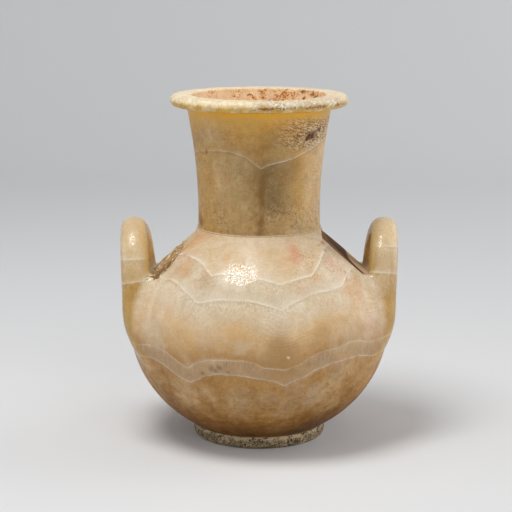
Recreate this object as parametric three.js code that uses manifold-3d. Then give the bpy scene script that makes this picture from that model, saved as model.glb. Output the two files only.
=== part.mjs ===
// A two-handled stone krater, built up from the pieces it would come apart into.
// Millimetres, +Z up, origin on the table under the axis, handles along X.

import * as THREE from 'three';
import { mergeVertices } from 'three/addons/utils/BufferGeometryUtils.js';
import Module from 'manifold-3d';

const wasm = await Module();
wasm.setup();

// Foot ring, a separate turned ring that the globe stands in
const footTopRadius = 53.2;
const footHeight = 10;
const footBulge = 1.1; // of the fullest level past the top
const footFullestHeight = 4;
const footSoleSetback = 0.6; // of the sole's edge behind the top
const footRimWidth = 12.2; // of the top, from the bore outwards
const footBoreFlare = 3; // of the bore at the sole
const footHollowHeight = 4.5; // how high the flared underside of the bore reaches

// Globe, hollowed out through its open top
const globeRadius = 106.5; // at its widest
const globeLowerRise = 83.8; // from the foot joint to the widest level
const globeUpperRise = 77; // from the widest level to the neck joint
const seatOverhang = 1.7; // of the globe past the top of the foot ring
const shoulderLedge = 1; // of the globe past the base of the neck
const sideWall = 11;
const floorRise = 10; // of the cavity floor above the foot joint
const bossHeight = 6; // the plug under the globe that drops into the foot ring
const bossChamfer = 1.2;
const socketDepth = 11; // of the straight socket for the neck

// Neck with its flat, round-edged lip
const neckHeight = 106.8;
const neckBaseRadius = 49.6;
const neckTopRadius = 58; // under the lip
const neckWaistPull = 48.2; // radius that steers the lower half of the outside
const neckWaistPullHeight = 33;
const neckFlarePull = 52; // radius that steers the upper half of the outside
const neckFlarePullHeight = 66;
const neckWall = 8.2; // at the base
const lipRadius = 71.6;
const lipThickness = 9.4;
const lipUndercut = 1.2; // how much the underside of the lip drops towards the neck
const mouthRadius = 53.4;
const mouthRounding = 2;
const spigotHeight = 8; // the collar under the neck that drops into the globe
const spigotWall = 4.6;

// Beds of plaster in the two turned joints
const bedThickness = 1.2;
const bedSetback = 0.4; // behind the outside of the joint
const neckBedWidth = 2.3;

// Handles, upright loops standing in line with the widest part of the globe
const handleStandOut = 5.8; // of the crown beyond the widest radius
const handleLean = 2.8; // how much less the legs stand out where the arch springs
const handleRise = 85; // of the crown above the widest level
const crownHeight = 19; // thickness of the loop at its crown
const crownDepth = 20; // towards the axis
const legWidth = 22; // where the arch springs
const legDepth = 24;
const rootWidth = 42; // where a leg runs out on the globe
const rootDepth = 30;
const springRise = 24; // level where the arch of the loop begins
const loopSpread = 33; // half the distance between the legs there
const rootSpread = 38; // half the distance between the legs where they run out
const rootDrop = 36; // of the end of a leg below the widest level
const rootSink = 23; // how far the end of a leg has turned in under the surface
const rootSweepShare = 2.2; // power by which it turns in
const housingDepth = 4.5; // how deep a leg is let into the globe
const flatHousingDepth = 1; // the same, below a shoulder flat
const clearance = 0.3; // around each leg in its housing, and around each collar

// Flats that clear the shoulder for the fingers between the legs
const flatDrop = 38; // over the run
const flatRun = 40; // outwards
const flatStartLedge = 0.4; // outside the neck joint
const overrun = 45; // of the cut past what it clears

// Vertices nearer than this are one vertex
const weldDistance = 0.001;

// Fineness of the facets
const turns = 64;
const curveSteps = 12;
const innerSteps = 8;
const arcSteps = 6;
const sectionSides = 18;
const archSteps = 14;
const legSteps = 7;

const footBoreRadius = footTopRadius - footRimWidth;
const footJoint = footHeight + bedThickness;
const globeMiddle = footJoint + globeLowerRise;
const neckJoint = globeMiddle + globeUpperRise;
const neckFoot = neckJoint + bedThickness;
const spigotRadius = neckBaseRadius - bedSetback - neckBedWidth;
const socketRadius = spigotRadius + clearance;
const globeSeatRadius = footTopRadius + seatOverhang;
const globeShoulderRadius = neckBaseRadius + shoulderLedge;
const bossRadius = footBoreRadius - clearance;

// A closed three.js geometry as a solid that can be cut and joined.
function solid(geometry) {
  const bare = new THREE.BufferGeometry();
  bare.setAttribute('position', geometry.getAttribute('position'));
  bare.setIndex(geometry.getIndex());
  const merged = mergeVertices(bare, weldDistance);
  return new wasm.Manifold(new wasm.Mesh({
    numProp: 3,
    vertProperties: merged.getAttribute('position').array,
    triVerts: new Uint32Array(merged.getIndex().array),
  }));
}

function geometryOf(body) {
  const { vertProperties, triVerts } = body.getMesh();
  const geometry = new THREE.BufferGeometry();
  geometry.setAttribute('position', new THREE.BufferAttribute(vertProperties, 3));
  geometry.setIndex(new THREE.BufferAttribute(triVerts, 1));
  return geometry;
}

// An outline of [radius, height] points turned about Z.
function turned(outline) {
  const points = outline.map(([radius, height]) => new THREE.Vector2(radius, height));
  return new THREE.LatheGeometry(points, turns).rotateX(Math.PI / 2);
}

// Semi-height of the ellipse that is `wide` at level 0 and has narrowed to `narrow` after `rise`.
function semiHeight(wide, narrow, rise) {
  return rise / Math.sqrt(1 - (narrow / wide) ** 2);
}

// Points on that ellipse, from level 0 to the rise, both ends included.
function bulge(wide, narrow, rise, steps) {
  const high = semiHeight(wide, narrow, Math.abs(rise));
  const end = Math.acos(narrow / wide);
  return Array.from({ length: steps + 1 }, (_, i) => {
    const angle = (end * i) / steps;
    return [wide * Math.cos(angle), Math.sign(rise) * high * Math.sin(angle)];
  });
}

function arc(centreRadius, centreHeight, size, from, to) {
  return Array.from({ length: arcSteps + 1 }, (_, i) => {
    const angle = from + ((to - from) * i) / arcSteps;
    return [centreRadius + size * Math.cos(angle), centreHeight + size * Math.sin(angle)];
  });
}

function raised(points, height) {
  return points.map(([radius, level]) => [radius, level + height]);
}

// Outside of the globe from the foot joint to the neck joint, moved in by `inset`.
function globeOutside(inset) {
  const wide = globeRadius - inset;
  const lower = bulge(wide, globeSeatRadius - inset, -globeLowerRise, curveSteps).reverse();
  const upper = bulge(wide, globeShoulderRadius - inset, globeUpperRise, curveSteps);
  return [...lower, ...upper.slice(1)];
}

// The globe's cavity, from its floor on the axis up to the neck's socket.
function cavityOutline() {
  const wide = globeRadius - sideWall;
  const lower = bulge(wide, 0, floorRise - globeLowerRise, innerSteps).reverse();
  const upper = bulge(wide, socketRadius, globeUpperRise - socketDepth, innerSteps);
  return [...lower, ...upper.slice(1)];
}

function turnedGlobe() {
  const bottom = -globeLowerRise;
  return solid(turned([
    [0, bottom - bossHeight],
    [bossRadius - bossChamfer, bottom - bossHeight],
    [bossRadius, bottom - bossHeight + bossChamfer],
    [bossRadius, bottom],
    ...globeOutside(0),
    [socketRadius, globeUpperRise],
    ...cavityOutline().reverse(),
  ]));
}

// The globe without its outer skin, which is where a leg stops when it is let in.
function globeCore(inset) {
  const outline = globeOutside(housingDepth + inset);
  const core = solid(turned([[0, -globeLowerRise], ...outline, [0, globeUpperRise]]));
  return core.subtract(flatBlock(flatHousingDepth + inset));
}

// Middle and half sizes of one oval section of a handle.
function station(reach, spread, level, depth, width, grow) {
  return {
    centre: new THREE.Vector3(reach - depth / 2, spread, level),
    depth: depth / 2 + grow,
    width: width / 2 + grow,
  };
}

// Sections of the front leg, from its end up to the spring of the arch.
function legStations(grow) {
  const reach = globeRadius + handleStandOut - handleLean;
  return Array.from({ length: legSteps }, (_, i) => {
    const down = 1 - i / legSteps;
    return station(
      reach - rootSink * down ** rootSweepShare,
      -THREE.MathUtils.lerp(loopSpread, rootSpread, down),
      springRise - (springRise + rootDrop) * down,
      THREE.MathUtils.lerp(legDepth, rootDepth, down),
      THREE.MathUtils.lerp(legWidth, rootWidth, down),
      grow,
    );
  });
}

// Sections of the arch, over the crown to the spring on the other side.
function archStations(grow) {
  const rise = handleRise - crownHeight / 2 - springRise;
  return Array.from({ length: archSteps + 1 }, (_, i) => {
    const angle = Math.PI * (i / archSteps - 0.5);
    const low = Math.abs(Math.sin(angle));
    return station(
      globeRadius + handleStandOut - handleLean * (1 - Math.cos(angle)),
      loopSpread * Math.sin(angle),
      springRise + rise * Math.cos(angle),
      THREE.MathUtils.lerp(crownDepth, legDepth, low),
      THREE.MathUtils.lerp(crownHeight, legWidth, low ** 2),
      grow,
    );
  });
}

// Sections of a whole handle, from the end of the front leg to the end of the rear one.
function loopStations(grow) {
  const front = legStations(grow);
  const rear = front.map((one) => ({
    ...one,
    centre: one.centre.clone().setY(-one.centre.y),
  }));
  return [...front, ...archStations(grow), ...rear.reverse()];
}

// A skin over oval sections that stand square to the centre line, closed at both ends.
function loft(stations) {
  const radial = new THREE.Vector3(1, 0, 0);
  const positions = [];
  const faces = [];
  const last = stations.length - 1;
  stations.forEach(({ centre, depth, width }, i) => {
    const along = stations[Math.min(i + 1, last)].centre.clone()
      .sub(stations[Math.max(i - 1, 0)].centre).setX(0).normalize();
    const across = new THREE.Vector3().crossVectors(along, radial);
    for (let side = 0; side < sectionSides; side++) {
      const angle = (2 * Math.PI * side) / sectionSides;
      const point = centre.clone()
        .addScaledVector(radial, depth * Math.cos(angle))
        .addScaledVector(across, width * Math.sin(angle));
      positions.push(...point.toArray());
      if (i === last) continue;
      const a = i * sectionSides + side;
      const b = i * sectionSides + ((side + 1) % sectionSides);
      faces.push(a, b, a + sectionSides, b, b + sectionSides, a + sectionSides);
    }
  });
  for (const [station, turn] of [[0, 1], [last, -1]]) {
    const hub = positions.length / 3;
    positions.push(...stations[station].centre.toArray());
    for (let side = 0; side < sectionSides; side++) {
      const a = station * sectionSides + side;
      const b = station * sectionSides + ((side + 1) % sectionSides);
      faces.push(hub, ...(turn > 0 ? [b, a] : [a, b]));
    }
  }
  const geometry = new THREE.BufferGeometry();
  geometry.setAttribute('position', new THREE.Float32BufferAttribute(positions, 3));
  geometry.setIndex(faces);
  return solid(geometry);
}

// One shoulder flat, as the block of stone that is taken away, `lower` than the flat itself.
function flatBlock(lower) {
  const length = Math.hypot(flatDrop, flatRun) + overrun;
  const block = new THREE.BoxGeometry(length, 2 * (loopSpread + overrun), 2 * overrun);
  block.translate(length / 2, 0, overrun);
  block.rotateY(Math.atan2(flatDrop, flatRun));
  block.translate(globeShoulderRadius + flatStartLedge, 0, globeUpperRise - lower);
  return solid(block);
}

function globe() {
  const pocket = loft(loopStations(clearance)).subtract(globeCore(clearance));
  const right = flatBlock(0).add(pocket);
  const left = right.rotate([0, 0, 180]);
  return geometryOf(turnedGlobe().subtract(right).subtract(left));
}

function handle() {
  return geometryOf(loft(loopStations(0)).subtract(globeCore(0)));
}

function neck() {
  const lipUnder = neckHeight - lipThickness;
  const round = lipThickness / 2;
  const spigotInner = spigotRadius - spigotWall;
  const outside = new THREE.CubicBezierCurve(
    new THREE.Vector2(neckBaseRadius, 0),
    new THREE.Vector2(neckWaistPull, neckWaistPullHeight),
    new THREE.Vector2(neckFlarePull, neckFlarePullHeight),
    new THREE.Vector2(neckTopRadius, lipUnder - lipUndercut),
  ).getPoints(curveSteps).map((p) => [p.x, p.y]);
  const inside = new THREE.CubicBezierCurve(
    new THREE.Vector2(mouthRadius - mouthRounding, neckHeight - 2 * mouthRounding),
    new THREE.Vector2(neckFlarePull - neckWall, neckFlarePullHeight),
    new THREE.Vector2(neckWaistPull - neckWall, neckWaistPullHeight),
    new THREE.Vector2(spigotInner, -spigotHeight),
  ).getPoints(innerSteps).map((p) => [p.x, p.y]);
  return turned([
    [spigotRadius, -spigotHeight],
    [spigotRadius, 0],
    ...outside,
    ...arc(lipRadius - round, neckHeight - round, round, -Math.PI / 2, Math.PI / 2),
    ...arc(mouthRadius + mouthRounding, neckHeight - mouthRounding, mouthRounding,
      Math.PI / 2, Math.PI),
    ...inside,
    [spigotRadius, -spigotHeight],
  ]);
}

function footRing() {
  return turned([
    [footBoreRadius + footBoreFlare, 0],
    [footTopRadius - footSoleSetback, 0],
    [footTopRadius + footBulge, footFullestHeight],
    [footTopRadius, footHeight],
    [footBoreRadius, footHeight],
    [footBoreRadius, footHollowHeight],
    [footBoreRadius + footBoreFlare, 0],
  ]);
}

function bed(innerRadius, outerRadius) {
  return turned([
    [innerRadius, 0],
    [outerRadius, 0],
    [outerRadius, bedThickness],
    [innerRadius, bedThickness],
    [innerRadius, 0],
  ]);
}

const stone = { roughness: 0.42, metalness: 0 };
const honey = new THREE.MeshStandardMaterial({ color: 0xcdb083, ...stone });
const cream = new THREE.MeshStandardMaterial({ color: 0xd8bd8a, ...stone });
const olive = new THREE.MeshStandardMaterial({ color: 0xbfa377, ...stone });
const weathered = new THREE.MeshStandardMaterial({ color: 0xa79c83, roughness: 0.85, metalness: 0 });
const plaster = new THREE.MeshStandardMaterial({ color: 0xd9cdb6, roughness: 0.9, metalness: 0 });

function piece(name, geometry, material, height) {
  const mesh = new THREE.Mesh(geometry, material);
  mesh.name = name;
  mesh.position.z = height;
  return mesh;
}

const krater = new THREE.Group();
krater.add(piece('foot_ring', footRing(), weathered, 0));
krater.add(piece('foot_bed', bed(footBoreRadius, footTopRadius - bedSetback), plaster, footHeight));
krater.add(piece('globe', globe(), honey, globeMiddle));
krater.add(piece('handle_right', handle(), cream, globeMiddle));
const leftHandle = piece('handle_left', handle(), cream, globeMiddle);
leftHandle.rotation.z = Math.PI;
krater.add(leftHandle);
krater.add(piece('neck_bed', bed(socketRadius, neckBaseRadius - bedSetback), plaster, neckJoint));
krater.add(piece('neck', neck(), olive, neckFoot));

export default krater;
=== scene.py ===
import math

import bmesh
import bpy
import numpy as np
from bpy.props import FloatProperty, FloatVectorProperty, IntProperty, PointerProperty
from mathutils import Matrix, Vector


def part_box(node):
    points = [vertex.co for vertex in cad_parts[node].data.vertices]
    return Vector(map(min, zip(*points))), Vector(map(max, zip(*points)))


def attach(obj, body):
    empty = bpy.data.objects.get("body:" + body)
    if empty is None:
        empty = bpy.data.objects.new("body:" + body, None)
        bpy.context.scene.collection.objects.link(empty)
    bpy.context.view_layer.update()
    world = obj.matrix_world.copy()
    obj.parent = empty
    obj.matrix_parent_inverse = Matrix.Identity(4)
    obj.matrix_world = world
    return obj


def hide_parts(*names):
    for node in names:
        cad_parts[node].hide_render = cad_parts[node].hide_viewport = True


bl_info = {
    "name": "Travertine Krater",
    "version": (1, 0, 0),
    "blender": (4, 5, 0),
    "location": "View3D > Sidebar > Krater",
    "description": "Dresses a two-handled stone krater: turned neck and foot, carved globe and handles",
    "category": "Object",
}

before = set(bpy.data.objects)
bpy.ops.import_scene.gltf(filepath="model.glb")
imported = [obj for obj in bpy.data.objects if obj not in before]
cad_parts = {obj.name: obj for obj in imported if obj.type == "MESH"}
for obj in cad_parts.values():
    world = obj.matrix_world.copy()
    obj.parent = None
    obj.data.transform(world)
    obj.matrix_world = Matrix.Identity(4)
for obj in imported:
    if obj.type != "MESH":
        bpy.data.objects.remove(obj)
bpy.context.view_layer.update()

MM = 0.001  # the modelling below is in millimetres, the meshes are in metres
INSET = 0.2  # how far the widest parts stay inside the CAD's, in millimetres


def box_mm(node):
    """Lowest and highest corner of a CAD node, in millimetres."""
    low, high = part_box(node)
    return np.array(low) / MM, np.array(high) / MM


GLOBE_LOW, GLOBE_HIGH = box_mm("globe")
NECK_LOW, NECK_HIGH = box_mm("neck")
HANDLE_HIGH = box_mm("handle_right")[1]
FOOT_HIGH = box_mm("foot_ring")[1]
FOOT_BED = box_mm("foot_bed")
NECK_BED = box_mm("neck_bed")


def length_property(name, description, default, low, high):
    """A length that is given in millimetres and kept in metres."""
    return FloatProperty(
        name=name, description=description, default=default * MM, min=low * MM, max=high * MM,
        unit="LENGTH", subtype="DISTANCE")


def colour_property(name, description, default):
    return FloatVectorProperty(
        name=name, description=description, default=default, subtype="COLOR", size=3, min=0, max=1)


class KraterSizes(bpy.types.PropertyGroup):
    """Sizes a user may change. The rest follow from the frame."""

    middle: length_property("Widest level", "Height of the globe's widest part", 95, 50, 200)
    wall: length_property("Wall", "Thickness of the globe's side wall", 11, 4, 30)
    skin_step: length_property("Mesh step", "Size of the facets on the carved skin", 1.5, 1, 10)
    fillet: length_property("Fillet", "Softness of the handles' roots on the globe", 14, 1, 30)
    flat_roughness: length_property("Tooling depth", "Depth of tool marks on the left flat", 2.4, 0, 4)
    pit_depth: length_property("Pit depth", "Depth of the pits in the foot ring", 0.9, 0, 3)
    turns: IntProperty(
        name="Turns", description="Facets round a turned piece", default=300, min=32, max=512)


class KraterColours(bpy.types.PropertyGroup):
    """Colours of the stone."""

    shoulder: colour_property("Shoulder", "Pale stone above the upper lines", (0.67, 0.52, 0.33))
    cool: colour_property("Cool", "Paler, cooler stone round the second line", (0.70, 0.58, 0.41))
    honey: colour_property("Honey", "Warm stone of the belly", (0.69, 0.47, 0.235))
    umber: colour_property("Umber", "Browner stone near the foot", (0.44, 0.235, 0.065))
    band: colour_property("Band", "Greyer band between the lower lines", (0.455, 0.295, 0.15))
    olive: colour_property("Olive", "Greyer stone of the neck", (0.47, 0.30, 0.115))
    # Amber: the upper neck's colour, partly painted glow of light through the stone
    amber: colour_property("Amber", "Glowing stone under the lip", (0.60, 0.33, 0.06))
    cream: colour_property("Cream", "Pale top of the lip", (0.82, 0.66, 0.39))
    vein: colour_property("Vein", "Thin pale lines between the layers", (0.80, 0.70, 0.54))
    stain: colour_property("Stain", "Rusty specks inside the mouth", (0.24, 0.09, 0.035))
    crust: colour_property("Foot stone", "Grey pitted stone of the foot ring", (0.45, 0.325, 0.165))


# Noise on a lattice of random values, for moving vertices

LATTICE = 32  # values along each side before the noise repeats
OCTAVES = 3


def lattice_noise(points, size, seed):
    """Smooth noise from -1 to 1 at the points, with features of the given size."""
    table = np.random.default_rng(seed).uniform(-1, 1, (LATTICE,) * 3)
    scaled = points / size
    cell = np.floor(scaled).astype(int)
    share = scaled - cell
    share = share * share * (3 - 2 * share)
    total = np.zeros(len(points))
    for dx in (0, 1):
        for dy in (0, 1):
            for dz in (0, 1):
                corner = (cell + (dx, dy, dz)) % LATTICE
                weight = np.abs(1 - dx - share[:, 0]) * np.abs(1 - dy - share[:, 1])
                weight = weight * np.abs(1 - dz - share[:, 2])
                total += weight * table[corner[:, 0], corner[:, 1], corner[:, 2]]
    return total


def layered_noise(points, size, seed):
    """Noise of several sizes, each half as large and half as strong as the one before."""
    total = np.zeros(len(points))
    for octave in range(OCTAVES):
        total += lattice_noise(points, size / 2**octave, seed + octave) / 2**octave
    return total


def smooth_step(low, high, values):
    """0 at the first level and 1 at the second, which may be the lower one, with soft ends."""
    share = np.clip((values - low) / (high - low), 0, 1)
    return share * share * (3 - 2 * share)


def between(values, start, full, last, end):
    """1 from full to last, and softly down to 0 at start and end."""
    return smooth_step(start, full, values) * smooth_step(end, last, values)


def hump(values, centre, width):
    """A bell curve that is 1 at its centre."""
    return np.exp(-((values - centre) / width) ** 2)


def radius_of(points):
    return np.hypot(points[:, 0], points[:, 1])


def place_on(radius, azimuth, height):
    """A place at a radius from the axis, with the azimuth in radians from the front."""
    return radius * math.sin(azimuth), -radius * math.cos(azimuth), height


# Outlines, in millimetres, as lists of (radius, height)

SEAT_LEVEL = FOOT_BED[1][2]  # where the globe sits on the bed in the foot ring
NECK_LEVEL = GLOBE_HIGH[2]  # where the globe ends and the neck's bed begins
SEAT_RADIUS = 54.9
SHOULDER_RADIUS = 50.6
NECK_BORE = 47.2
NECK_BORE_DEPTH = 11
FOOT_BORE = 41


def semi_height(wide, narrow, rise):
    """Semi-height of the ellipse that is wide at its middle and has narrowed after the rise."""
    return rise / math.sqrt(1 - (narrow / wide) ** 2)


class Globe:
    """The globe's outside as a distance field, and its cavity as an outline."""

    def __init__(self, sizes):
        self.radius = GLOBE_HIGH[1] - INSET
        self.middle = sizes.middle / MM
        self.wall = sizes.wall / MM
        self.lower = semi_height(self.radius, SEAT_RADIUS, self.middle - SEAT_LEVEL)
        self.upper = semi_height(self.radius, SHOULDER_RADIUS, NECK_LEVEL - self.middle)

    def distance(self, points):
        level = points[:, 2] - self.middle
        high = np.where(level < 0, self.lower, self.upper)
        across = points[:, 0] ** 2 + points[:, 1] ** 2
        k = np.sqrt(across / self.radius**2 + level**2 / high**2)
        slope = np.sqrt(across / self.radius**4 + level**2 / high**4)
        return k * (k - 1) / np.maximum(slope, 1e-6)

    def radius_at(self, height):
        """Radius of the outside at a height."""
        level = height - self.middle
        high = np.where(level < 0, self.lower, self.upper)
        return self.radius * np.sqrt(np.maximum(1 - (level / high) ** 2, 0))

    def place(self, azimuth, height):
        """A place on the outside."""
        return place_on(self.radius_at(height), azimuth, height)

    def cavity(self):
        """From the floor on the axis up to the bore for the neck, drawn in under the flats."""
        steps, drawn_in = 40, 0.1
        wide = self.radius - self.wall
        low = self.middle - SEAT_LEVEL - self.wall
        rise = NECK_LEVEL - NECK_BORE_DEPTH - self.middle
        high = semi_height(wide, NECK_BORE, rise)
        end = math.acos(NECK_BORE / wide)
        outline = []
        for i in range(steps):
            angle = math.pi / 2 * (1 - i / steps)
            outline.append((wide * math.cos(angle), self.middle - low * math.sin(angle)))
        for i in range(steps + 1):
            angle = end * i / steps
            radius = wide * (1 - drawn_in * math.sin(math.pi * i / steps))
            outline.append((radius * math.cos(angle), self.middle + high * math.sin(angle)))
        return outline


# Shoulder flats, as planes that slope down and outwards, and a little to the back

FLAT_SLOPE = math.atan2(37, 43)
FLAT_TILT = 0.055
FLAT_START = (51, -40, NECK_LEVEL - 4.3)
FLAT_TURN_RADIUS = 50.3  # the flats stop at an upright face round the neck's foot


def flat_distance(points):
    """Height over the flats' planes."""
    away = np.abs(points[:, 0]) - FLAT_START[0]
    back = points[:, 1] - FLAT_START[1]
    up = points[:, 2] - FLAT_START[2] + FLAT_TILT * back
    return away * math.sin(FLAT_SLOPE) + up * math.cos(FLAT_SLOPE)


def soft_minimum(a, b, softness):
    """The lower of two fields, with a fillet where they meet."""
    over = np.maximum(softness - np.abs(a - b), 0)
    return np.minimum(a, b) - over**2 / (4 * softness)


class Loop:
    """A handle as a distance field: oval sections along a centre line in the plane across X."""

    def __init__(self, side):
        self.side = side
        stand_out, crown = HANDLE_HIGH[0] - INSET, HANDLE_HIGH[2] - INSET
        spring, spring_spread, lean = 119, 33, 2.8
        end, end_spread, sink, sweep = 58, 40, 26, 2.2
        crown_height, crown_depth = 19, 20
        spring_width, spring_depth = 22.5, 24
        root_width, root_depth = 46, 32
        y, z, reach, width, depth = [], [], [], [], []
        for down in np.linspace(1, 0, 60, endpoint=False):
            y.append(spring_spread + (end_spread - spring_spread) * down)
            z.append(spring + (end - spring) * down)
            reach.append(stand_out - lean - sink * down**sweep)
            width.append(spring_width + (root_width - spring_width) * down)
            depth.append(spring_depth + (root_depth - spring_depth) * down)
        rise = crown - crown_height / 2 - spring
        for angle in np.linspace(math.pi / 2, 0, 80):
            low = math.sin(angle)
            y.append(spring_spread * low)
            z.append(spring + rise * math.cos(angle))
            reach.append(stand_out - lean * (1 - math.cos(angle)))
            width.append(crown_height + (spring_width - crown_height) * low**2)
            depth.append(crown_depth + (spring_depth - crown_depth) * low)
        self.line = np.array([y, z]).T
        self.half_width = np.array(width) / 2
        self.half_depth = np.array(depth) / 2
        self.centre = np.array(reach) - self.half_depth
        step = np.diff(self.line, axis=0)
        self.along = np.append(0, np.cumsum(np.hypot(step[:, 0], step[:, 1])))
        tangent = np.gradient(self.line, axis=0)
        self.tangent = tangent / np.linalg.norm(tangent, axis=1)[:, None]

    def distance(self, points):
        block, power = 20000, 2.3
        flat = np.stack([np.abs(points[:, 1]), points[:, 2]], -1)
        nearest = np.zeros(len(points), int)
        for start in range(0, len(points), block):
            part = flat[start:start + block, None, :] - self.line[None]
            nearest[start:start + block] = (part**2).sum(-1).argmin(1)
        offset = flat - self.line[nearest]
        ahead = (offset * self.tangent[nearest]).sum(-1)
        along = self.along[nearest] + ahead
        tangent = self.tangent[nearest]
        beyond = np.maximum(0, along - self.along[-1]) + np.maximum(0, -along)
        aside = np.hypot(offset[:, 0] * tangent[:, 1] - offset[:, 1] * tangent[:, 0], 3 * beyond)
        depth = np.interp(along, self.along, self.half_depth)
        width = np.interp(along, self.along, self.half_width)
        out = self.side * points[:, 0] - np.interp(along, self.along, self.centre)
        k = ((aside / width) ** power + (np.abs(out) / depth) ** power) ** (1 / power)
        radius = np.hypot(aside, out)
        return radius * (1 - 1 / np.maximum(k, 1e-3))


class Carving:
    """The globe, its flats and its handles as one flowing skin."""

    def __init__(self, sizes):
        self.globe = Globe(sizes)
        self.loops = {"right": Loop(1), "left": Loop(-1)}
        self.fillet = sizes.fillet / MM

    def stone(self, points):
        """The globe with its flats, and how far a point belongs to a flat, from 0 to 1."""
        turn_softness, edge_rounding = 8, 1.4
        round_part = self.globe.distance(points)
        round_neck = radius_of(points) - FLAT_TURN_RADIUS
        flat_part = soft_minimum(flat_distance(points), round_neck, turn_softness)
        over = np.maximum(edge_rounding - np.abs(round_part - flat_part), 0)
        body = np.maximum(round_part, flat_part) + over**2 / (4 * edge_rounding)
        return body, smooth_step(-3, 3, flat_part - round_part)

    def loop(self, points):
        """Distance to the nearer handle."""
        start, far_away = 55, 60.0
        distance = np.full(len(points), far_away)
        for loop in self.loops.values():
            near = loop.side * points[:, 0] > start
            distance[near] = loop.distance(points[near])
        return distance

    def distance(self, points):
        """Distance to the skin. Its fillets are full above the handles' roots, and narrow at the flats."""
        body, flat = self.stone(points)
        fillet = self.fillet * smooth_step(58, 100, points[:, 2]) + 1
        return soft_minimum(body, self.loop(points), fillet + (3 - fillet) * flat)

    def slope(self, points):
        """How the distance grows along X, Y and Z."""
        reach = 0.05
        slope = np.empty_like(points)
        for axis in range(3):
            nudge = np.zeros(3)
            nudge[axis] = reach
            slope[:, axis] = self.distance(points + nudge) - self.distance(points - nudge)
        return slope / (2 * reach)


def surface_net(field, low, step):
    """Vertices and quads of the surface where the field changes sign, facing where it is positive."""
    inside = field < 0
    cells = tuple(n - 1 for n in field.shape)
    total = np.zeros(cells + (3,), np.float32)
    count = np.zeros(cells, np.float32)
    for axis in range(3):
        others = [a for a in range(3) if a != axis]
        for first in (0, 1):
            for second in (0, 1):
                start, end = [None] * 3, [None] * 3
                start[axis], end[axis] = slice(0, -1), slice(1, None)
                for other, corner in zip(others, (first, second)):
                    start[other] = end[other] = slice(corner, field.shape[other] - 1 + corner)
                a, b = field[tuple(start)], field[tuple(end)]
                crossed = inside[tuple(start)] != inside[tuple(end)]
                share = np.where(crossed, a / np.where(crossed, a - b, 1), 0)
                total[..., axis] += share
                total[..., others[0]] += crossed * first
                total[..., others[1]] += crossed * second
                count += crossed
    used = count > 0
    index = np.full(cells, -1, int)
    index[used] = np.arange(used.sum())
    places = np.argwhere(used) + total[used] / count[used][:, None]
    quads = []
    for axis in range(3):
        u, v = (axis + 1) % 3, (axis + 2) % 3
        start, end = [slice(1, -1)] * 3, [slice(1, -1)] * 3
        start[axis], end[axis] = slice(0, -1), slice(1, None)
        leaving = inside[tuple(start)] & ~inside[tuple(end)]
        entering = ~inside[tuple(start)] & inside[tuple(end)]
        for mask, turn in ((leaving, 1), (entering, -1)):
            at = np.argwhere(mask)
            at[:, u] += 1
            at[:, v] += 1
            ring = []
            for du, dv in ((-1, -1), (0, -1), (0, 0), (-1, 0))[::turn]:
                corner = at.copy()
                corner[:, u] += du
                corner[:, v] += dv
                ring.append(index[corner[:, 0], corner[:, 1], corner[:, 2]])
            quads.append(np.stack(ring, -1))
    return np.asarray(low) + places * step, np.concatenate(quads)


def sample_grid(field, low, high, step, block=200000):
    """The field at every point of a grid between two corners."""
    axes = [np.arange(low[a], high[a] + step, step) for a in range(3)]
    grid = np.stack(np.meshgrid(*axes, indexing="ij"), -1)
    flat = grid.reshape(-1, 3)
    values = np.concatenate([field(flat[i:i + block]) for i in range(0, len(flat), block)])
    return values.reshape(grid.shape[:3])


# Meshes

SHARP_ANGLE = 35  # degrees


def add_object(name, data):
    """A new object in the scene, with a mesh, a camera or a light as its data."""
    made = bpy.data.objects.new(name, data)
    bpy.context.scene.collection.objects.link(made)
    return made


def mesh_object(name, points, faces, edges=()):
    """A new object with its place in its mesh, from points in millimetres."""
    mesh = bpy.data.meshes.new(name)
    mesh.from_pydata((np.asarray(points) * MM).tolist(), edges, [list(f) for f in faces])
    mesh.update()
    return add_object(name, mesh)


def turned_solid(name, outline, turns):
    """A closed solid from an outline that closes on itself or ends on the axis."""
    points, rings = [], []
    for r, z in outline:
        if r < 1e-6:
            rings.append([len(points)])
            points.append((0, 0, z))
            continue
        rings.append(list(range(len(points), len(points) + turns)))
        for i in range(turns):
            angle = 2 * math.pi * i / turns
            points.append((r * math.cos(angle), r * math.sin(angle), z))
    pairs = list(zip(rings, rings[1:]))
    if len(rings[0]) > 1:
        pairs.append((rings[-1], rings[0]))
    faces = []
    for low, high in pairs:
        for i in range(turns):
            j = (i + 1) % turns
            if len(low) == 1 and len(high) == 1:
                continue
            if len(low) == 1:
                faces.append((low[0], high[j], high[i]))
            elif len(high) == 1:
                faces.append((low[i], low[j], high[0]))
            else:
                faces.append((low[i], low[j], high[j], high[i]))
    return mesh_object(name, points, faces)


def apply_modifiers(piece):
    """Puts what the piece's modifiers make in the place of its mesh."""
    depsgraph = bpy.context.evaluated_depsgraph_get()
    mesh = bpy.data.meshes.new_from_object(piece.evaluated_get(depsgraph))
    piece.modifiers.clear()
    piece.data = mesh
    if not len(mesh.polygons):
        raise RuntimeError(f"nothing is left of {piece.name}")


def drop_folded(mesh):
    """Takes out faces that lie back to back on the same vertices."""
    same = {}
    for face in mesh.polygons:
        same.setdefault(frozenset(face.vertices), []).append(face.index)
    folded = [index for group in same.values() if len(group) > 1 for index in group]
    if not folded:
        return
    work = bmesh.new()
    work.from_mesh(mesh)
    work.faces.ensure_lookup_table()
    bmesh.ops.delete(work, geom=[work.faces[index] for index in folded], context="FACES")
    work.to_mesh(mesh)
    work.free()


def boolean(piece, tool, operation):
    """Cuts or trims the piece with the tool."""
    modifier = piece.modifiers.new("cut", "BOOLEAN")
    modifier.object = tool
    modifier.operation = operation
    modifier.solver = "MANIFOLD"
    apply_modifiers(piece)
    drop_folded(piece.data)


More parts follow.
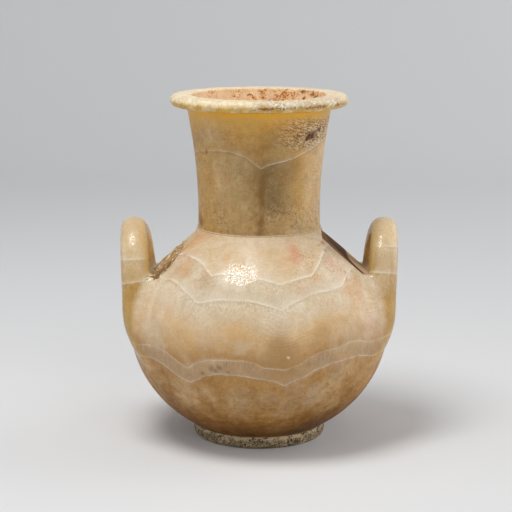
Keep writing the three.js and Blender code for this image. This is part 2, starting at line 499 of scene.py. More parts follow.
def copy_of(piece, name):
    twin = piece.copy()
    twin.data = piece.data.copy()
    twin.name = twin.data.name = name
    bpy.context.scene.collection.objects.link(twin)
    return twin


def drop(*pieces):
    for piece in pieces:
        bpy.data.objects.remove(piece)


def vertices_of(piece):
    """Places in millimetres and normals of the piece's vertices."""
    count = len(piece.data.vertices)
    places, normals = np.empty(count * 3), np.empty(count * 3)
    piece.data.vertices.foreach_get("co", places)
    piece.data.vertices.foreach_get("normal", normals)
    return places.reshape(-1, 3) / MM, normals.reshape(-1, 3)


def move_vertices(piece, points):
    piece.data.vertices.foreach_set("co", (points * MM).ravel())
    piece.data.update()


def finish_mesh(piece):
    piece.data.shade_smooth()
    piece.data.set_sharp_from_angle(angle=math.radians(SHARP_ANGLE))
    piece.data.name = piece.name


def store(piece, name, values):
    """Keeps a value at each vertex, for the material."""
    attribute = piece.data.attributes.new(name, "FLOAT", "POINT")
    attribute.data.foreach_set("value", np.asarray(values, np.float32))


# Lines between the layers of the stone, as (degrees from the front, height in mm)

UPPER_LINE = (
    (-180, 147), (-168, 152), (-156, 150), (-146, 143), (-132, 150), (-118, 153), (-104, 147), (-92, 150),
    (-78, 149), (-68, 152), (-61.8, 155), (-55.7, 156.6), (-49.4, 157.4), (-42.9, 156.4), (-38.2, 155.4),
    (-33.1, 153), (-29.1, 149.9), (-25.2, 146.3), (-23, 147.6), (-19.8, 148.5), (-15.5, 149),
    (-10.1, 148.8), (-6.4, 148), (-2.2, 146.4), (1.4, 145.8), (4.3, 144.4), (7.7, 143.3), (9.9, 141.9),
    (12.2, 142.8), (15.4, 143.6), (22.7, 145.6), (28.2, 146.6), (30.9, 149), (35.6, 153), (41.2, 157.6),
    (45.8, 160.3), (53.1, 163.3), (60, 163), (73, 161), (90, 157), (104, 148), (118, 153), (132, 154),
    (146, 149), (160, 142), (170, 145))
SECOND_LINE = (
    (-180, 128), (-168, 133), (-156, 131), (-148, 125), (-134, 132), (-120, 134), (-106, 129), (-94, 133),
    (-80, 131), (-70, 132), (-64.3, 135.7), (-60.1, 139), (-55.3, 139.3), (-49.7, 140), (-45.6, 139.4),
    (-41, 136.9), (-36.9, 134.1), (-33.5, 131.9), (-28.8, 127.4), (-25.9, 128.2), (-22.6, 129.8),
    (-18, 131), (-13.3, 131.3), (-8.7, 131.1), (-4.2, 130.9), (-0.6, 129.9), (4.7, 127.4), (9.4, 124),
    (11.7, 126), (14.6, 128.6), (17.6, 130.4), (21.2, 132.1), (25, 134), (29.5, 135.1), (33.4, 135.1),
    (36.6, 136), (41, 136.1), (43.7, 137), (46.4, 139.6), (49.4, 142.2), (54.9, 145.3), (60.6, 146.6),
    (66, 142), (73, 139.5), (84, 139), (96, 138), (106, 129), (120, 135), (134, 136), (148, 130),
    (160, 124), (170, 126))
THIRD_LINE = (
    (-180, 84), (-166, 87), (-152, 79), (-138, 85), (-122, 88), (-108, 80), (-94, 84), (-78, 85),
    (-68, 85.5), (-61, 86.5), (-55.4, 88), (-50, 88.4), (-45.4, 87.2), (-41.9, 85.1), (-39.2, 82.3),
    (-36.1, 79.6), (-33.6, 77.4), (-31.4, 76.6), (-29.4, 79.3), (-26.8, 82.4), (-24, 84), (-20.8, 85.3),
    (-16.4, 86.3), (-12.1, 86.1), (-7.9, 86.5), (-4.6, 85.9), (-1.8, 84.4), (1.1, 81.1), (3.6, 80.4),
    (6.9, 79.8), (10.7, 78.5), (15.4, 81.3), (17.9, 82.5), (19.6, 85.1), (21.8, 87.5), (24.9, 89.7),
    (27.2, 91), (35.7, 92.3), (38.4, 93.9), (42.4, 95.1), (47.4, 94.2), (52.5, 91.3), (56.6, 90.4),
    (60.2, 91.4), (66, 93), (76, 95), (90, 93), (106, 82), (120, 89), (134, 90), (148, 84), (162, 76),
    (172, 81))
LOWEST_LINE = (
    (-180, 72), (-166, 75), (-153, 68), (-138, 73), (-122, 76), (-108, 69), (-94, 73), (-78, 75),
    (-66, 76), (-58.8, 77.1), (-53.5, 78), (-49.2, 76.7), (-46, 75.4), (-43.2, 73.1), (-40.6, 70.1),
    (-37.5, 67.7), (-35, 65.9), (-31.9, 64.6), (-29.6, 66.3), (-27.4, 68), (-25.2, 70.7), (-22.7, 72.5),
    (-19.4, 74), (-15.9, 74.6), (-9.8, 74.4), (-6.4, 74), (-3.1, 72.7), (1.1, 71.5), (4.5, 70.1),
    (7.6, 68.7), (9.4, 66.8), (11.6, 65.2), (12.8, 67.7), (15, 69.2), (20.2, 72.2), (23.2, 75.8),
    (25.4, 77.4), (28.7, 78.7), (31.6, 80.4), (37.9, 81.1), (43, 81.9), (46.2, 82.2), (50.4, 80.8),
    (56.4, 78.5), (62, 80), (74, 83), (90, 81), (106, 71), (120, 77), (134, 78), (148, 72), (162, 65),
    (172, 69))
NECK_LINE = (
    (-180, 226), (-162, 233), (-140, 238), (-118, 236), (-100, 229), (-86, 232), (-68, 236), (-51, 237.9),
    (-34.5, 239.1), (-26.4, 238.8), (-19.1, 237.3), (-11.9, 235.3), (-7.9, 232.5), (-3.2, 229),
    (1.2, 226.1), (5, 227.8), (10.9, 229.3), (19.9, 231.3), (29.5, 232.9), (37.3, 235.9), (49.6, 239.5),
    (58.3, 241.9), (66, 244.4), (90, 245), (112, 240), (132, 230), (150, 236), (168, 234))


def azimuth_of(points):
    """Degrees from the front, positive to the right."""
    return np.degrees(np.arctan2(points[:, 0], -points[:, 1]))


def above_line(points, line):
    """Height of each point above a line of the stone, in millimetres."""
    angles, heights = np.array(line).T
    fine = np.arange(-180, 180, 0.5)
    table = np.interp(fine, angles, heights, period=360)
    for _ in range(2):
        table = (np.roll(table, 1) + 2 * table + np.roll(table, -1)) / 4
    return points[:, 2] - np.interp(azimuth_of(points), fine, table, period=360)


def store_lines(piece, points):
    """Keeps the height above each line, and the layer: 1 to 4 at the lines, in between elsewhere."""
    above = [above_line(points, line) for line in (LOWEST_LINE, THIRD_LINE, SECOND_LINE, UPPER_LINE)]
    layer = 1 + above[0] / 30
    for i in range(3):
        gap = above[i] - above[i + 1]
        layer = np.where(above[i] > 0, i + 1 + above[i] / gap, layer)
    layer = np.where(above[3] > 0, 4 + above[3] / 20, layer)
    store(piece, "layer", layer + 0.05 * layered_noise(points, 16, 5))
    for name, values in zip(("line_1", "line_2", "line_3", "line_4"), above):
        store(piece, name, values + 0.25 * lattice_noise(points, 3.5, 8))


# Patches on the stone: for each attribute the seed of its ragged edges, then rows of
# (degrees from the front, height in mm, radius in mm, strength)

PATCHES = {
    "orange": (31, (
        (-60, 164, 17, 0.9), (-44, 150, 12, 0.6), (-60, 149, 12, 0.5), (-50, 141, 3, 0.6),
        (-20, 159, 4, 0.5), (-27, 145, 9, 0.3), (12, 92, 14, 0.3), (8, 78, 10, 0.3), (16, 156, 7, 0.4),
        (29, 147, 7, 0.5), (51, 133, 15, 0.7), (60, 156, 8, 0.6), (-57, 72, 7, 0.5), (38, 78, 12, 0.35),
        (60, 60, 16, 0.5), (128, 150, 9, 0.6), (-140, 156, 8, 0.5), (164, 120, 12, 0.5),
        (-118, 108, 12, 0.4))),
    "pale": (61, (
        (-14, 169, 7, 0.6), (0, 170, 7, 0.6), (14, 169, 7, 0.5), (-30, 169, 7, 0.5), (34, 168, 7, 0.5),
        (-7, 164, 11, 0.9), (-2, 153, 11, 0.9), (4, 147, 8, 0.7), (-45, 153, 7, 0.8), (-38, 135, 8, 0.7),
        (26, 152, 8, 0.6), (36, 146, 8, 0.5), (58, 106, 22, 0.7), (66, 90, 16, 0.6), (-66, 112, 14, 0.4),
        (-52, 102, 19, 0.6), (43, 98, 22, 0.45), (43, 76, 12, 0.35), (-31, 78, 6, 0.35),
        (-36, 54, 15, 0.6), (-24, 56, 10, 0.55), (-22, 84, 9, 0.35), (30, 58, 15, 0.45),
        (37, 46, 14, 0.35), (-12, 46, 14, 0.35), (-34, 148, 5, 0.5), (-34, 136, 8, 0.5),
        (-22, 108, 16, 0.45), (130, 110, 20, 0.6), (-150, 105, 22, 0.6), (175, 150, 12, 0.7),
        (-120, 150, 12, 0.5))),
    # Painted shade on the lower belly near the foot
    "deep": (55, (
        (-38, 25, 15, 0.9), (-52, 40, 12, 0.6), (-20, 24, 9, 0.6), (12, 25, 8, 0.5), (48, 30, 10, 0.5),
        (-28, 40, 8, 0.3), (140, 26, 14, 0.7), (-120, 28, 14, 0.7), (178, 24, 10, 0.5))),
    "dotted": (45, (
        (30, 158, 11, 0.8), (43, 150, 11, 0.8), (20, 149, 8, 0.5), (-31, 143, 7, 0.6), (56, 141, 7, 0.9),
        (-52, 155, 8, 0.5), (150, 150, 12, 0.7), (-130, 150, 10, 0.6), (50, 52, 14, 0.5))),
    "pink": (41, (
        (23.5, 163, 6.5, 1.0), (22, 158, 6, 0.8), (-46, 157, 4, 0.35), (44, 155, 9, 0.5),
        (48, 148, 8, 0.4), (57, 105, 9, 0.35), (58, 94, 8, 0.3), (20, 140, 8, 0.25), (150, 158, 6, 0.6),
        (-110, 140, 8, 0.4))),
    "grey": (51, (
        (-28, 141, 8, 0.3), (-36, 128, 7, 0.2), (-18, 78, 5, 0.4), (28, 84, 4, 0.6), (37, 72, 12, 0.4),
        (-8, 54, 12, 0.3), (14, 46, 14, 0.35), (5, 53, 11, 0.35), (24, 52, 13, 0.5), (17, 63, 9, 0.4),
        (170, 60, 14, 0.4), (-150, 70, 10, 0.4))),
}


def patches(points, table, seed):
    """Strength of the nearest patches at each point, with ragged edges."""
    total = np.zeros(len(points))
    angle = np.radians(azimuth_of(points))
    radius = radius_of(points)
    ragged = 0.35 * layered_noise(points, 7, seed)
    for azimuth, height, size, strength in table:
        turn = np.angle(np.exp(1j * (angle - math.radians(azimuth))))
        away = np.hypot(turn * radius, points[:, 2] - height) / size + ragged
        total = np.maximum(total, strength * smooth_step(1.25, 0.2, away))
    return total


# Single marks, as (degrees from the front, height in mm, size in mm, strength)

DARK_MARKS = (
    (-20.5, 79.5, 2.6, 0.5), (-17, 80.5, 2.2, 0.6), (-18.5, 77.5, 2, 0.55), (-13, 77, 1.6, 0.4),
    (-24.6, 74.5, 1.3, 0.6), (19, 90, 1.2, 0.4), (-28, 59, 1.5, 0.4), (150, 92, 3, 0.5),
    (-140, 60, 3, 0.5))
RUST_MARKS = (
    (53, 165.5, 2.6, 0.9), (47.5, 165, 1.8, 0.7), (48.5, 161.3, 2.0, 0.8), (50.7, 145.6, 2.0, 0.7),
    (49.3, 140.2, 1.9, 0.6), (63.2, 132, 2.2, 0.5), (61, 128.5, 1.9, 0.4), (-44, 137, 1.9, 0.4),
    (-52, 157.5, 2.0, 0.5), (132, 154, 2, 0.6), (-118, 150, 2, 0.5))
PALE_MARKS = (
    (12, 89.3, 1.1, 0.9), (-26, 101.5, 0.9, 0.4), (-5, 62, 0.9, 0.3), (160, 99, 1.2, 0.7))
NECK_MARKS = (
    (46, 250.0, 4.6, 1.2), (50, 250.6, 4.6, 1.2), (54, 252.2, 3.9, 1.0), (59, 254, 3.9, 0.9),
    (65, 256.2, 3.8, 0.8), (71, 258, 3.6, 0.6), (-51.6, 237.6, 1.6, 1.0), (-71, 181, 7, 0.4),
    (170, 205, 6, 0.5))

# A painted highlight: a soft pale line beside the left handle, as (degrees from the front, height in mm)

HIGHLIGHT_BESIDE_HANDLE = (
    (-55.6, 96), (-55.5, 110), (-56.2, 121), (-56.8, 130), (-55.6, 137), (-53.5, 140))


def neck_place(azimuth, height):
    """A place on the neck, as wide as its middle."""
    middle_radius = 52
    return place_on(middle_radius, azimuth, height)


def marks(points, table, find, grain):
    """Strength of single marks at each point, with ragged edges."""
    total = np.zeros(len(points))
    ragged = 0.28 * np.stack([layered_noise(points, grain, seed) for seed in (71, 72, 73)], -1)
    for turn, level, size, strength in table:
        away = np.linalg.norm((points - find(math.radians(turn), level)) / size + ragged, axis=1)
        total = np.maximum(total, strength * smooth_step(1.2, 0.5, away))
    return np.clip(total, 0, 1)


def place(piece, slot, *nodes):
    """Puts a finished piece in the place of its CAD nodes."""
    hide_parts(*nodes)
    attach(piece, "root")


# Shader building

class Nodes:
    """Adds nodes to a tree. Inputs are plain values or other nodes' outputs."""

    def __init__(self, tree):
        self.tree = tree

    def node(self, kind, inputs=None, **settings):
        """A node with its settings, and its inputs fed by name or number."""
        node = self.tree.nodes.new(kind)
        for key, value in settings.items():
            setattr(node, key, value)
        for key, value in (inputs or {}).items():
            self.feed(node.inputs[key], value)
        return node

    def feed(self, socket, value):
        if hasattr(value, "links"):
            self.tree.links.new(value, socket)
        elif isinstance(value, (tuple, list)) and socket.type == "RGBA":
            socket.default_value = (*value, 1)
        else:
            socket.default_value = value

    def math(self, operation, a, b=0.0, clamp=False):
        return self.node("ShaderNodeMath", {0: a, 1: b}, operation=operation, use_clamp=clamp).outputs[0]

    def times(self, first, *others):
        for other in others:
            first = self.math("MULTIPLY", first, other)
        return first

    def plus(self, first, *others):
        for other in others:
            first = self.math("ADD", first, other)
        return first

    def minus(self, a, b):
        return self.math("SUBTRACT", a, b)

    def mix(self, share, a, b, blend="MIX"):
        inputs = {0: share, 6: a, 7: b}
        return self.node("ShaderNodeMix", inputs, data_type="RGBA", blend_type=blend).outputs[2]

    def over(self, colour, tint, *shares):
        """The colour with a tint over it. Its shares are multiplied, and a name is an attribute."""
        shares = [self.attribute(share) if isinstance(share, str) else share for share in shares]
        return self.mix(self.times(*shares), colour, tint)

    def coats(self, colour, *coats):
        """The colour under coats of (tint, share, share and so on)."""
        for tint, *shares in coats:
            colour = self.over(colour, tint, *shares)
        return colour

    def multiplied(self, colour, factors):
        return self.mix(1.0, colour, factors, "MULTIPLY")

    def noise(self, vector, size, detail=3, roughness=0.55, distortion=0.0):
        """Noise from 0 to 1 with features of the given size."""
        inputs = {"Vector": vector, "Scale": 1 / size, "Detail": detail,
                  "Roughness": roughness, "Distortion": distortion}
        return self.node("ShaderNodeTexNoise", inputs).outputs["Fac"]

    def step(self, value, low, high, to_low=0.0, to_high=1.0):
        """A soft step between two levels."""
        inputs = {0: value, 1: low, 2: high, 3: to_low, 4: to_high}
        return self.node("ShaderNodeMapRange", inputs, interpolation_type="SMOOTHSTEP").outputs[0]

    def moved(self, vector, offset):
        return self.vector("ADD", vector, offset)

    def stretched(self, vector, factors):
        return self.vector("MULTIPLY", vector, factors)

    def vector(self, operation, a, b):
        inputs = {0: a, 3 if operation == "SCALE" else 1: b}
        return self.node("ShaderNodeVectorMath", inputs, operation=operation).outputs[0]

    def split(self, vector):
        """X, Y and Z of a vector."""
        return self.node("ShaderNodeSeparateXYZ", {0: vector}).outputs

    def turned(self, vector, axis, angle):
        inputs = {"Vector": vector, "Angle": angle}
        return self.node("ShaderNodeVectorRotate", inputs, rotation_type=f"{axis}_AXIS").outputs[0]

    def millimetres(self):
        """Object coordinates in millimetres."""
        coordinates = self.node("ShaderNodeTexCoord")
        return self.vector("SCALE", coordinates.outputs["Object"], 1 / MM)

    def grained(self, colour, tone):
        """The colour with the grain's tone: browner where dark, paler where light."""
        dark = self.multiplied(colour, (0.78, 0.705, 0.62))
        light = self.multiplied(colour, (1.22, 1.27, 1.35))
        return self.mix(self.step(tone, 0.66, 1.34), dark, light)

    def attribute(self, name):
        return self.node("ShaderNodeAttribute", attribute_name=name).outputs["Fac"]

    def ramp(self, value, stops):
        """A colour ramp from (level, colour) pairs in rising order."""
        low, high = stops[0][0], stops[-1][0]
        node = self.node("ShaderNodeValToRGB")
        elements = node.color_ramp.elements
        elements.remove(elements[1])
        for i, (level, colour) in enumerate(stops):
            element = elements.new((level - low) / (high - low)) if i else elements[0]
            element.position = (level - low) / (high - low)
            element.color = (*colour, 1)
        share = self.node("ShaderNodeMapRange", {0: value, 1: low, 2: high})
        self.feed(node.inputs[0], share.outputs[0])
        return node.outputs[0]

    def group(self, name, **values):
        inputs = {key.capitalize(): value for key, value in values.items()}
        return self.node("ShaderNodeGroup", inputs, node_tree=bpy.data.node_groups[name]).outputs

    def specks(self, vector, size, amount):
        return self.group("Specks", vector=vector, size=size, amount=amount)


def new_group(name, values, outputs):
    """A shader node group: its nodes, its inputs by name and a function that sets an output."""
    tree = bpy.data.node_groups.new(name, "ShaderNodeTree")
    tree.interface.new_socket("Vector", in_out="INPUT", socket_type="NodeSocketVector")
    for socket, default in values.items():
        made = tree.interface.new_socket(socket, in_out="INPUT", socket_type="NodeSocketFloat")
        made.default_value = default
    for socket in outputs:
        tree.interface.new_socket(socket, in_out="OUTPUT", socket_type="NodeSocketFloat")
    n = Nodes(tree)
    given, result = n.node("NodeGroupInput"), n.node("NodeGroupOutput")
    return n, given.outputs, lambda socket, value: n.feed(result.inputs[socket], value)


def grain_group():
    """Crystals, fibres and ripples of the stone: a tone round 1, a height, patches and warmth."""
    n, given, give = new_group(
        "Stone grain", {"Ripple": 1.0, "Mottle": 1.0, "Fibre": 0.5}, ["Tone", "Height", "Patch", "Warm"])
    vector = given["Vector"]
    mottle = n.noise(vector, 9, detail=6, roughness=0.62, distortion=0.6)
    crystals = n.noise(n.stretched(vector, (1, 1, 0.6)), 1.0, detail=2, roughness=0.6)
    specks = n.noise(vector, 2.6, detail=3, roughness=0.7)
    fibres = n.noise(n.stretched(vector, (1, 1, 0.1)), 1.1, detail=2)
    wander = n.noise(vector, 34, detail=1)
    phase = n.plus(n.times(n.split(vector)["Z"], 2.6), n.times(wander, 50.0))
    where = n.step(n.noise(vector, 38, detail=1), 0.44, 0.62)
    ripple = n.times(n.math("SINE", phase), where, given["Ripple"])
    give("Tone", n.plus(
        1.0,
        n.times(n.minus(mottle, 0.5), 0.7, given["Mottle"]),
        n.times(n.minus(specks, 0.5), 0.35, given["Mottle"]),
        n.times(n.minus(crystals, 0.5), 0.24),
        n.times(n.minus(fibres, 0.5), 1.1, given["Fibre"]),
        n.times(ripple, 0.05)))
    give("Height", n.plus(n.times(crystals, 0.7), n.times(ripple, 0.10), n.times(specks, 0.5)))
    give("Patch", n.noise(vector, 26, detail=5, roughness=0.6))
    aside = n.moved(vector, (40, 9, 3))
    give("Warm", n.step(n.noise(aside, 17, detail=4, roughness=0.55, distortion=0.5), 0.38, 0.66))


def vein_group():
    """A pale line with a crisp lower edge, a veil above it and a little shade below."""
    n, given, give = new_group(
        "Vein", {"Above": 0.0, "Width": 1.0, "Veil": 5.0}, ["Line", "Veil", "Shade"])
    width = given["Width"]
    wobble = n.times(n.minus(n.noise(given["Vector"], 2.4, detail=2), 0.5), 1.1)
    above = n.plus(given["Above"], wobble)
    started = n.step(above, -0.25, 0.12)
    ended = n.step(above, n.times(width, 0.45), n.times(width, 1.5), 1.0, 0.0)
    patchy = n.step(n.noise(given["Vector"], 9, detail=3), 0.35, 0.6, 0.2, 1.0)
    give("Line", n.times(started, ended, patchy))
    give("Veil", n.times(started, n.step(above, 0.0, given["Veil"], 1.0, 0.0)))
    give("Shade", n.times(n.minus(1.0, started), n.step(above, -3.5, 0.0), patchy))


def speck_group():
    """Small specks in clusters, and the clouds in which they lie."""
    n, given, give = new_group("Specks", {"Size": 1.0, "Amount": 0.5}, ["Specks", "Cloud"])
    vector = n.vector("SCALE", given["Vector"], n.math("DIVIDE", 1.0, given["Size"]))
    fine = n.noise(vector, 1.0, detail=3, roughness=0.7)
    cloud = n.noise(vector, 4.5, detail=4, roughness=0.6, distortion=0.5)
    both = n.plus(n.times(fine, 0.55), n.times(cloud, 0.45))
    low = n.minus(0.68, n.times(given["Amount"], 0.2))
    give("Specks", n.step(both, low, n.plus(low, 0.05)))
    soft = n.minus(0.66, n.times(given["Amount"], 0.26))
    give("Cloud", n.step(cloud, soft, n.plus(soft, 0.14)))


def crust_group():
    """Pitted, broken stone: pale crust, dark pores and a strong relief."""
    n, given, give = new_group("Broken stone", {"Size": 3.0}, ["Pale", "Pores", "Height"])
    vector = n.vector("SCALE", given["Vector"], n.math("DIVIDE", 1.0, given["Size"]))
    coarse = n.noise(vector, 1.0, detail=5, roughness=0.72, distortion=0.4)
    cells = n.node("ShaderNodeTexVoronoi", {"Vector": vector, "Scale": 1.7}, feature="F1")
    pore = n.step(cells.outputs["Distance"], 0.12, 0.36, 1.0, 0.0)
    pore = n.times(pore, n.step(n.noise(vector, 1.3, detail=2), 0.47, 0.58))
    give("Pale", n.step(coarse, 0.47, 0.6))
    give("Pores", pore)
    give("Height", n.minus(coarse, n.times(pore, 0.6)))


def new_material(name, roughness, glow=0.0, coat=0.0):
    """A material for dense stone: its nodes and its Principled BSDF's inputs."""
    material = bpy.data.materials.new(name)
    material.use_nodes = True
    inputs = material.node_tree.nodes["Principled BSDF"].inputs
    for key, value in {
            "Roughness": roughness, "IOR": 1.5, "Specular IOR Level": 0.28, "Subsurface Weight": glow,
            "Subsurface Radius": (1.0, 0.6, 0.25), "Subsurface Scale": 5 * MM, "Coat Weight": coat,
            "Coat Roughness": 0.14}.items():
        inputs[key].default_value = value
    return Nodes(material.node_tree), inputs


def relief(n, inputs, height, depth):
    """Bumps of the given depth in millimetres."""
    bump = n.node("ShaderNodeBump", {"Distance": depth * MM, "Height": height})
    n.feed(inputs["Normal"], bump.outputs["Normal"])


def shade(colour, factor):
    return tuple(min(1, c * factor) for c in colour)


def blend_of(a, b, share):
    return tuple(x + (y - x) * share for x, y in zip(a, b))


def tints(colours, *names):
    """Colours of the property group as plain tuples."""
    return [tuple(getattr(colours, name)) for name in names]


# Dark brown for pores and specks, and the painted shadow in the right flat's crevice
DARK_STONE_AND_SHADOW = (0.075, 0.035, 0.015)
GOLD_STONE = (0.49, 0.295, 0.075)
GREY_STONE = (0.40, 0.31, 0.20)
PALE_STONE = (0.74, 0.60, 0.43)
TAN_STONE = (0.60, 0.42, 0.22)
PATCH_COLOURS = (("orange", (0.62, 0.34, 0.14)), ("pink", (0.66, 0.35, 0.21)), ("grey", GREY_STONE))
LINES = (  # attribute, reach of the fibres below it in mm, width in mm, strength, strength of its veil
    ("line_1", 16, 0.75, 0.36, 0.12),
    ("line_2", 10, 0.75, 0.30, 0.12),
    ("line_3", 14, 1.35, 1.0, 0.35),
    ("line_4", 12, 1.35, 1.0, 0.32))


def banded_ground(n, layer, colours):
    """The stone's colour from layer to layer, foot to neck, golder on the handles. The lowest stops are
    painted shade near the foot, over the browner stone.
    """
    shoulder, cool, honey, umber, band = tints(colours, "shoulder", "cool", "honey", "umber", "band")
    colour = n.ramp(layer, [
        # The three lowest stops, darkest at the foot, are painted shade over the browner stone
        (-1.2, (0.10, 0.035, 0.0)), (-0.75, (0.18, 0.07, 0.001)), (-0.2, (0.30, 0.14, 0.02)),
        (0.5, shade(umber, 0.95)), (0.95, umber), (1.03, band), (1.97, shade(band, 1.04)),
        (2.03, shade(umber, 1.02)), (2.28, blend_of(umber, honey, 0.62)), (2.5, honey),
        (2.75, blend_of(honey, cool, 0.75)), (2.99, shade(cool, 1.04)), (3.02, shade(cool, 0.97)),
        (3.97, cool), (4.03, shade(shoulder, 1.06)), (5.3, shade(shoulder, 0.97))])
    # The handle attribute is highest on the shaded inner faces, so these also take extra gold as painted
    # light
    gilt = n.plus(n.step(layer, 4.3, 3.7, 0.25, 0.55), n.step(layer, 3.6, 2.4, 0.0, 0.55))
    return n.over(colour, GOLD_STONE, "handle", gilt)


def banded_grain(n, vector, low):
    """The grain, with more mottle near the foot and fibres below the lines."""
    under = 0.0
    for name, reach, *_ in LINES:
        line = n.attribute(name)
        fibres = n.times(n.step(line, -reach, -1), n.step(line, 0.8, 0.2))
        under = n.math("MAXIMUM", under, fibres)
    return n.group("Stone grain", vector=vector, ripple=n.attribute("rippled"),
                   mottle=n.plus(0.6, n.times(low, 0.9)), fibre=n.plus(0.10, n.times(under, 0.55)))


def banded_patches(n, colour, layer, grain, umber):
    """Broad patches: warm, pale, orange, pink and grey, the handles' crowns and a brown streak."""
    tone = grain["Tone"]
    warmth = n.plus(0.38, n.times(n.step(layer, 3.0, 2.2), 0.06))
    colour = n.over(colour, n.multiplied(colour, (0.97, 0.87, 0.70)), grain["Warm"], warmth)
    light = n.mix(n.step(layer, 1.6, 2.4), TAN_STONE, PALE_STONE)
    colour = n.over(colour, light, n.step(grain["Patch"], 0.55, 0.75, 0.0, 0.4), n.step(layer, -0.9, 0.1))
    for name, tint in (("pale", light), *PATCH_COLOURS):
        colour = n.over(colour, n.grained(tint, tone), name, 0.95)
    colour = n.over(colour, n.grained((0.86, 0.68, 0.40), tone), "crown", 0.8)
    return n.over(colour, shade(umber, 0.86), "streak", 0.68)


def banded_specks(n, colour, vector, layer, low, tone, umber):
    """Clouds and painted shade near the foot, single marks with a painted highlight beside the left handle,
    rusty specks and brown dots.
    """
    clouds = n.noise(n.stretched(vector, (1, 1, 1.6)), 6, detail=5, roughness=0.7, distortion=0.4)
    shallow = n.times(low, n.step(layer, -0.9, -0.2))
    rust = n.specks(vector, 1.3, 0.55)
    dots = n.step(n.noise(n.moved(vector, (5, 30, 8)), 1.1, detail=1), 0.56, 0.64)
    return n.coats(
        colour,
        ((0.52, 0.36, 0.19), n.step(clouds, 0.5, 0.72), shallow, 0.5),
        ((0.17, 0.07, 0.006), n.step(clouds, 0.47, 0.3), low, 0.45),
        # Painted shade near the foot
        (n.grained((0.20, 0.075, 0.004), tone), "deep", 0.8),
        ((0.16, 0.075, 0.03), "blot"),
        # Pale marks, and the painted highlight beside the left handle
        ((0.86, 0.74, 0.52), "glint"),
        (shade(umber, 0.5), rust["Specks"], n.plus(0.12, n.times(low, 0.5))),
        ((0.38, 0.20, 0.09), dots, "dotted", 0.9))


def veined(n, colour, vector, pale):
    """The four pale lines, fainter on the handles."""
    quiet = n.step(n.attribute("handle"), 0.2, 1.0, 1.0, 0.45)
    for name, _, width, strength, veil in LINES:
        vein = n.group("Vein", vector=vector, above=n.attribute(name), width=width, veil=1.0 + 14 * veil)
        colour = n.coats(colour, (shade(GREY_STONE, 1.15), vein["Shade"], veil),
                         (pale, vein["Veil"], veil), (pale, vein["Line"], strength, quiet))
    return colour


def flat_colours(n, colour, vector, crust, tone):
    """The rusty right shoulder flat with a painted shadow in its crevice, the broken left one, and painted
    light inside the handles: a bright gold on their shaded inner faces.
    """
    rust = n.mix(n.step(tone, 0.8, 1.2), (0.12, 0.05, 0.014), (0.30, 0.145, 0.045))
    front = n.step(n.split(vector)["Y"], -20, -36)
    shaded = n.mix(front, (0.42, 0.26, 0.11), (0.24, 0.12, 0.035))
    broken = n.mix(crust["Pale"], shaded, (0.97, 0.78, 0.50))
    broken = n.over(broken, shade(DARK_STONE_AND_SHADOW, 0.5), crust["Pores"], n.plus(0.3, front))
    # Painted light: a bright gold on the handles' shaded inner faces
    painted_inner_light = n.step(n.attribute("handle"), 1.1, 1.6, 0.0, 0.8)
    return n.coats(
        colour, (rust, "rust"), ((0.42, 0.19, 0.05), "spots", 0.85), (broken, "rough"),
        (n.grained((0.64, 0.44, 0.245), tone), "facet"), ((0.74, 0.51, 0.18), painted_inner_light),
        # Painted shadow in the right flat's crevice
        (DARK_STONE_AND_SHADOW, "crevice"))


def banded_material(colours):
    """The globe's and handles' stone, with its lines."""
    n, inputs = new_material("banded travertine", 0.4, glow=0.06, coat=0.08)
    umber, pale = tints(colours, "umber", "vein")
    vector, layer = n.millimetres(), n.attribute("layer")
    low = n.step(layer, 1.3, 0.2)
    grain = banded_grain(n, vector, low)
    slanted = n.stretched(n.turned(vector, "Y", math.radians(41)), (0.6, 1, 1))
    crust = n.group("Broken stone", vector=slanted, size=4.6)
    colour = n.grained(banded_ground(n, layer, colours), grain["Tone"])
    colour = banded_patches(n, colour, layer, grain, umber)
    colour = banded_specks(n, colour, vector, layer, low, grain["Tone"], umber)
    colour = veined(n, colour, vector, pale)
    n.feed(inputs["Base Color"], flat_colours(n, colour, vector, crust, grain["Tone"]))
    flat = n.attribute("flat")
    dull = n.plus(n.step(grain["Tone"], 0.8, 1.2, 0.5, 0.33), n.times(flat, 0.6), n.times(low, 0.1))
    n.feed(inputs["Roughness"], n.math("MINIMUM", dull, 1.0))
    gloss = n.noise(n.moved(vector, (9, 70, 4)), 1.5, detail=2, roughness=0.7)
    gloss = n.step(gloss, 0.45, 0.58, 0.02, 1.0)
    n.feed(inputs["Coat Weight"], n.times(n.minus(1.0, flat), n.minus(1.0, low), gloss))
    broken = n.times(crust["Height"], n.attribute("rough"), 5.0)
    relief(n, inputs, n.plus(broken, n.times(grain["Height"], 0.8)), 0.3)


def neck_ground(n, grain, colours):
    """The neck's colour, amber above its line, where the amber is partly painted glow, and olive below, with
    its broad patches.
    """
    olive, amber = tints(colours, "olive", "amber")
    colour = n.ramp(n.attribute("line_1"), [
        (-60, shade(olive, 0.98)), (-40, olive), (-8, shade(olive, 0.95)), (-0.3, olive),
        (0.3, olive), (14, blend_of(olive, amber, 0.5)), (30, amber)])
    # Warm sides, pale patches with a painted rim light at the right edge, light and grey patches
    colour = n.coats(
        colour, ((0.57, 0.34, 0.09), "sides", 0.75), ((0.68, 0.49, 0.26), "rim", 0.85),
        ((0.50, 0.36, 0.175), "light", 0.7), ((0.21, 0.135, 0.045), "grey", 0.85))
    colour = n.grained(colour, grain["Tone"])
    return n.over(colour, n.multiplied(colour, (1.02, 0.86, 0.64)), grain["Warm"], 0.6)


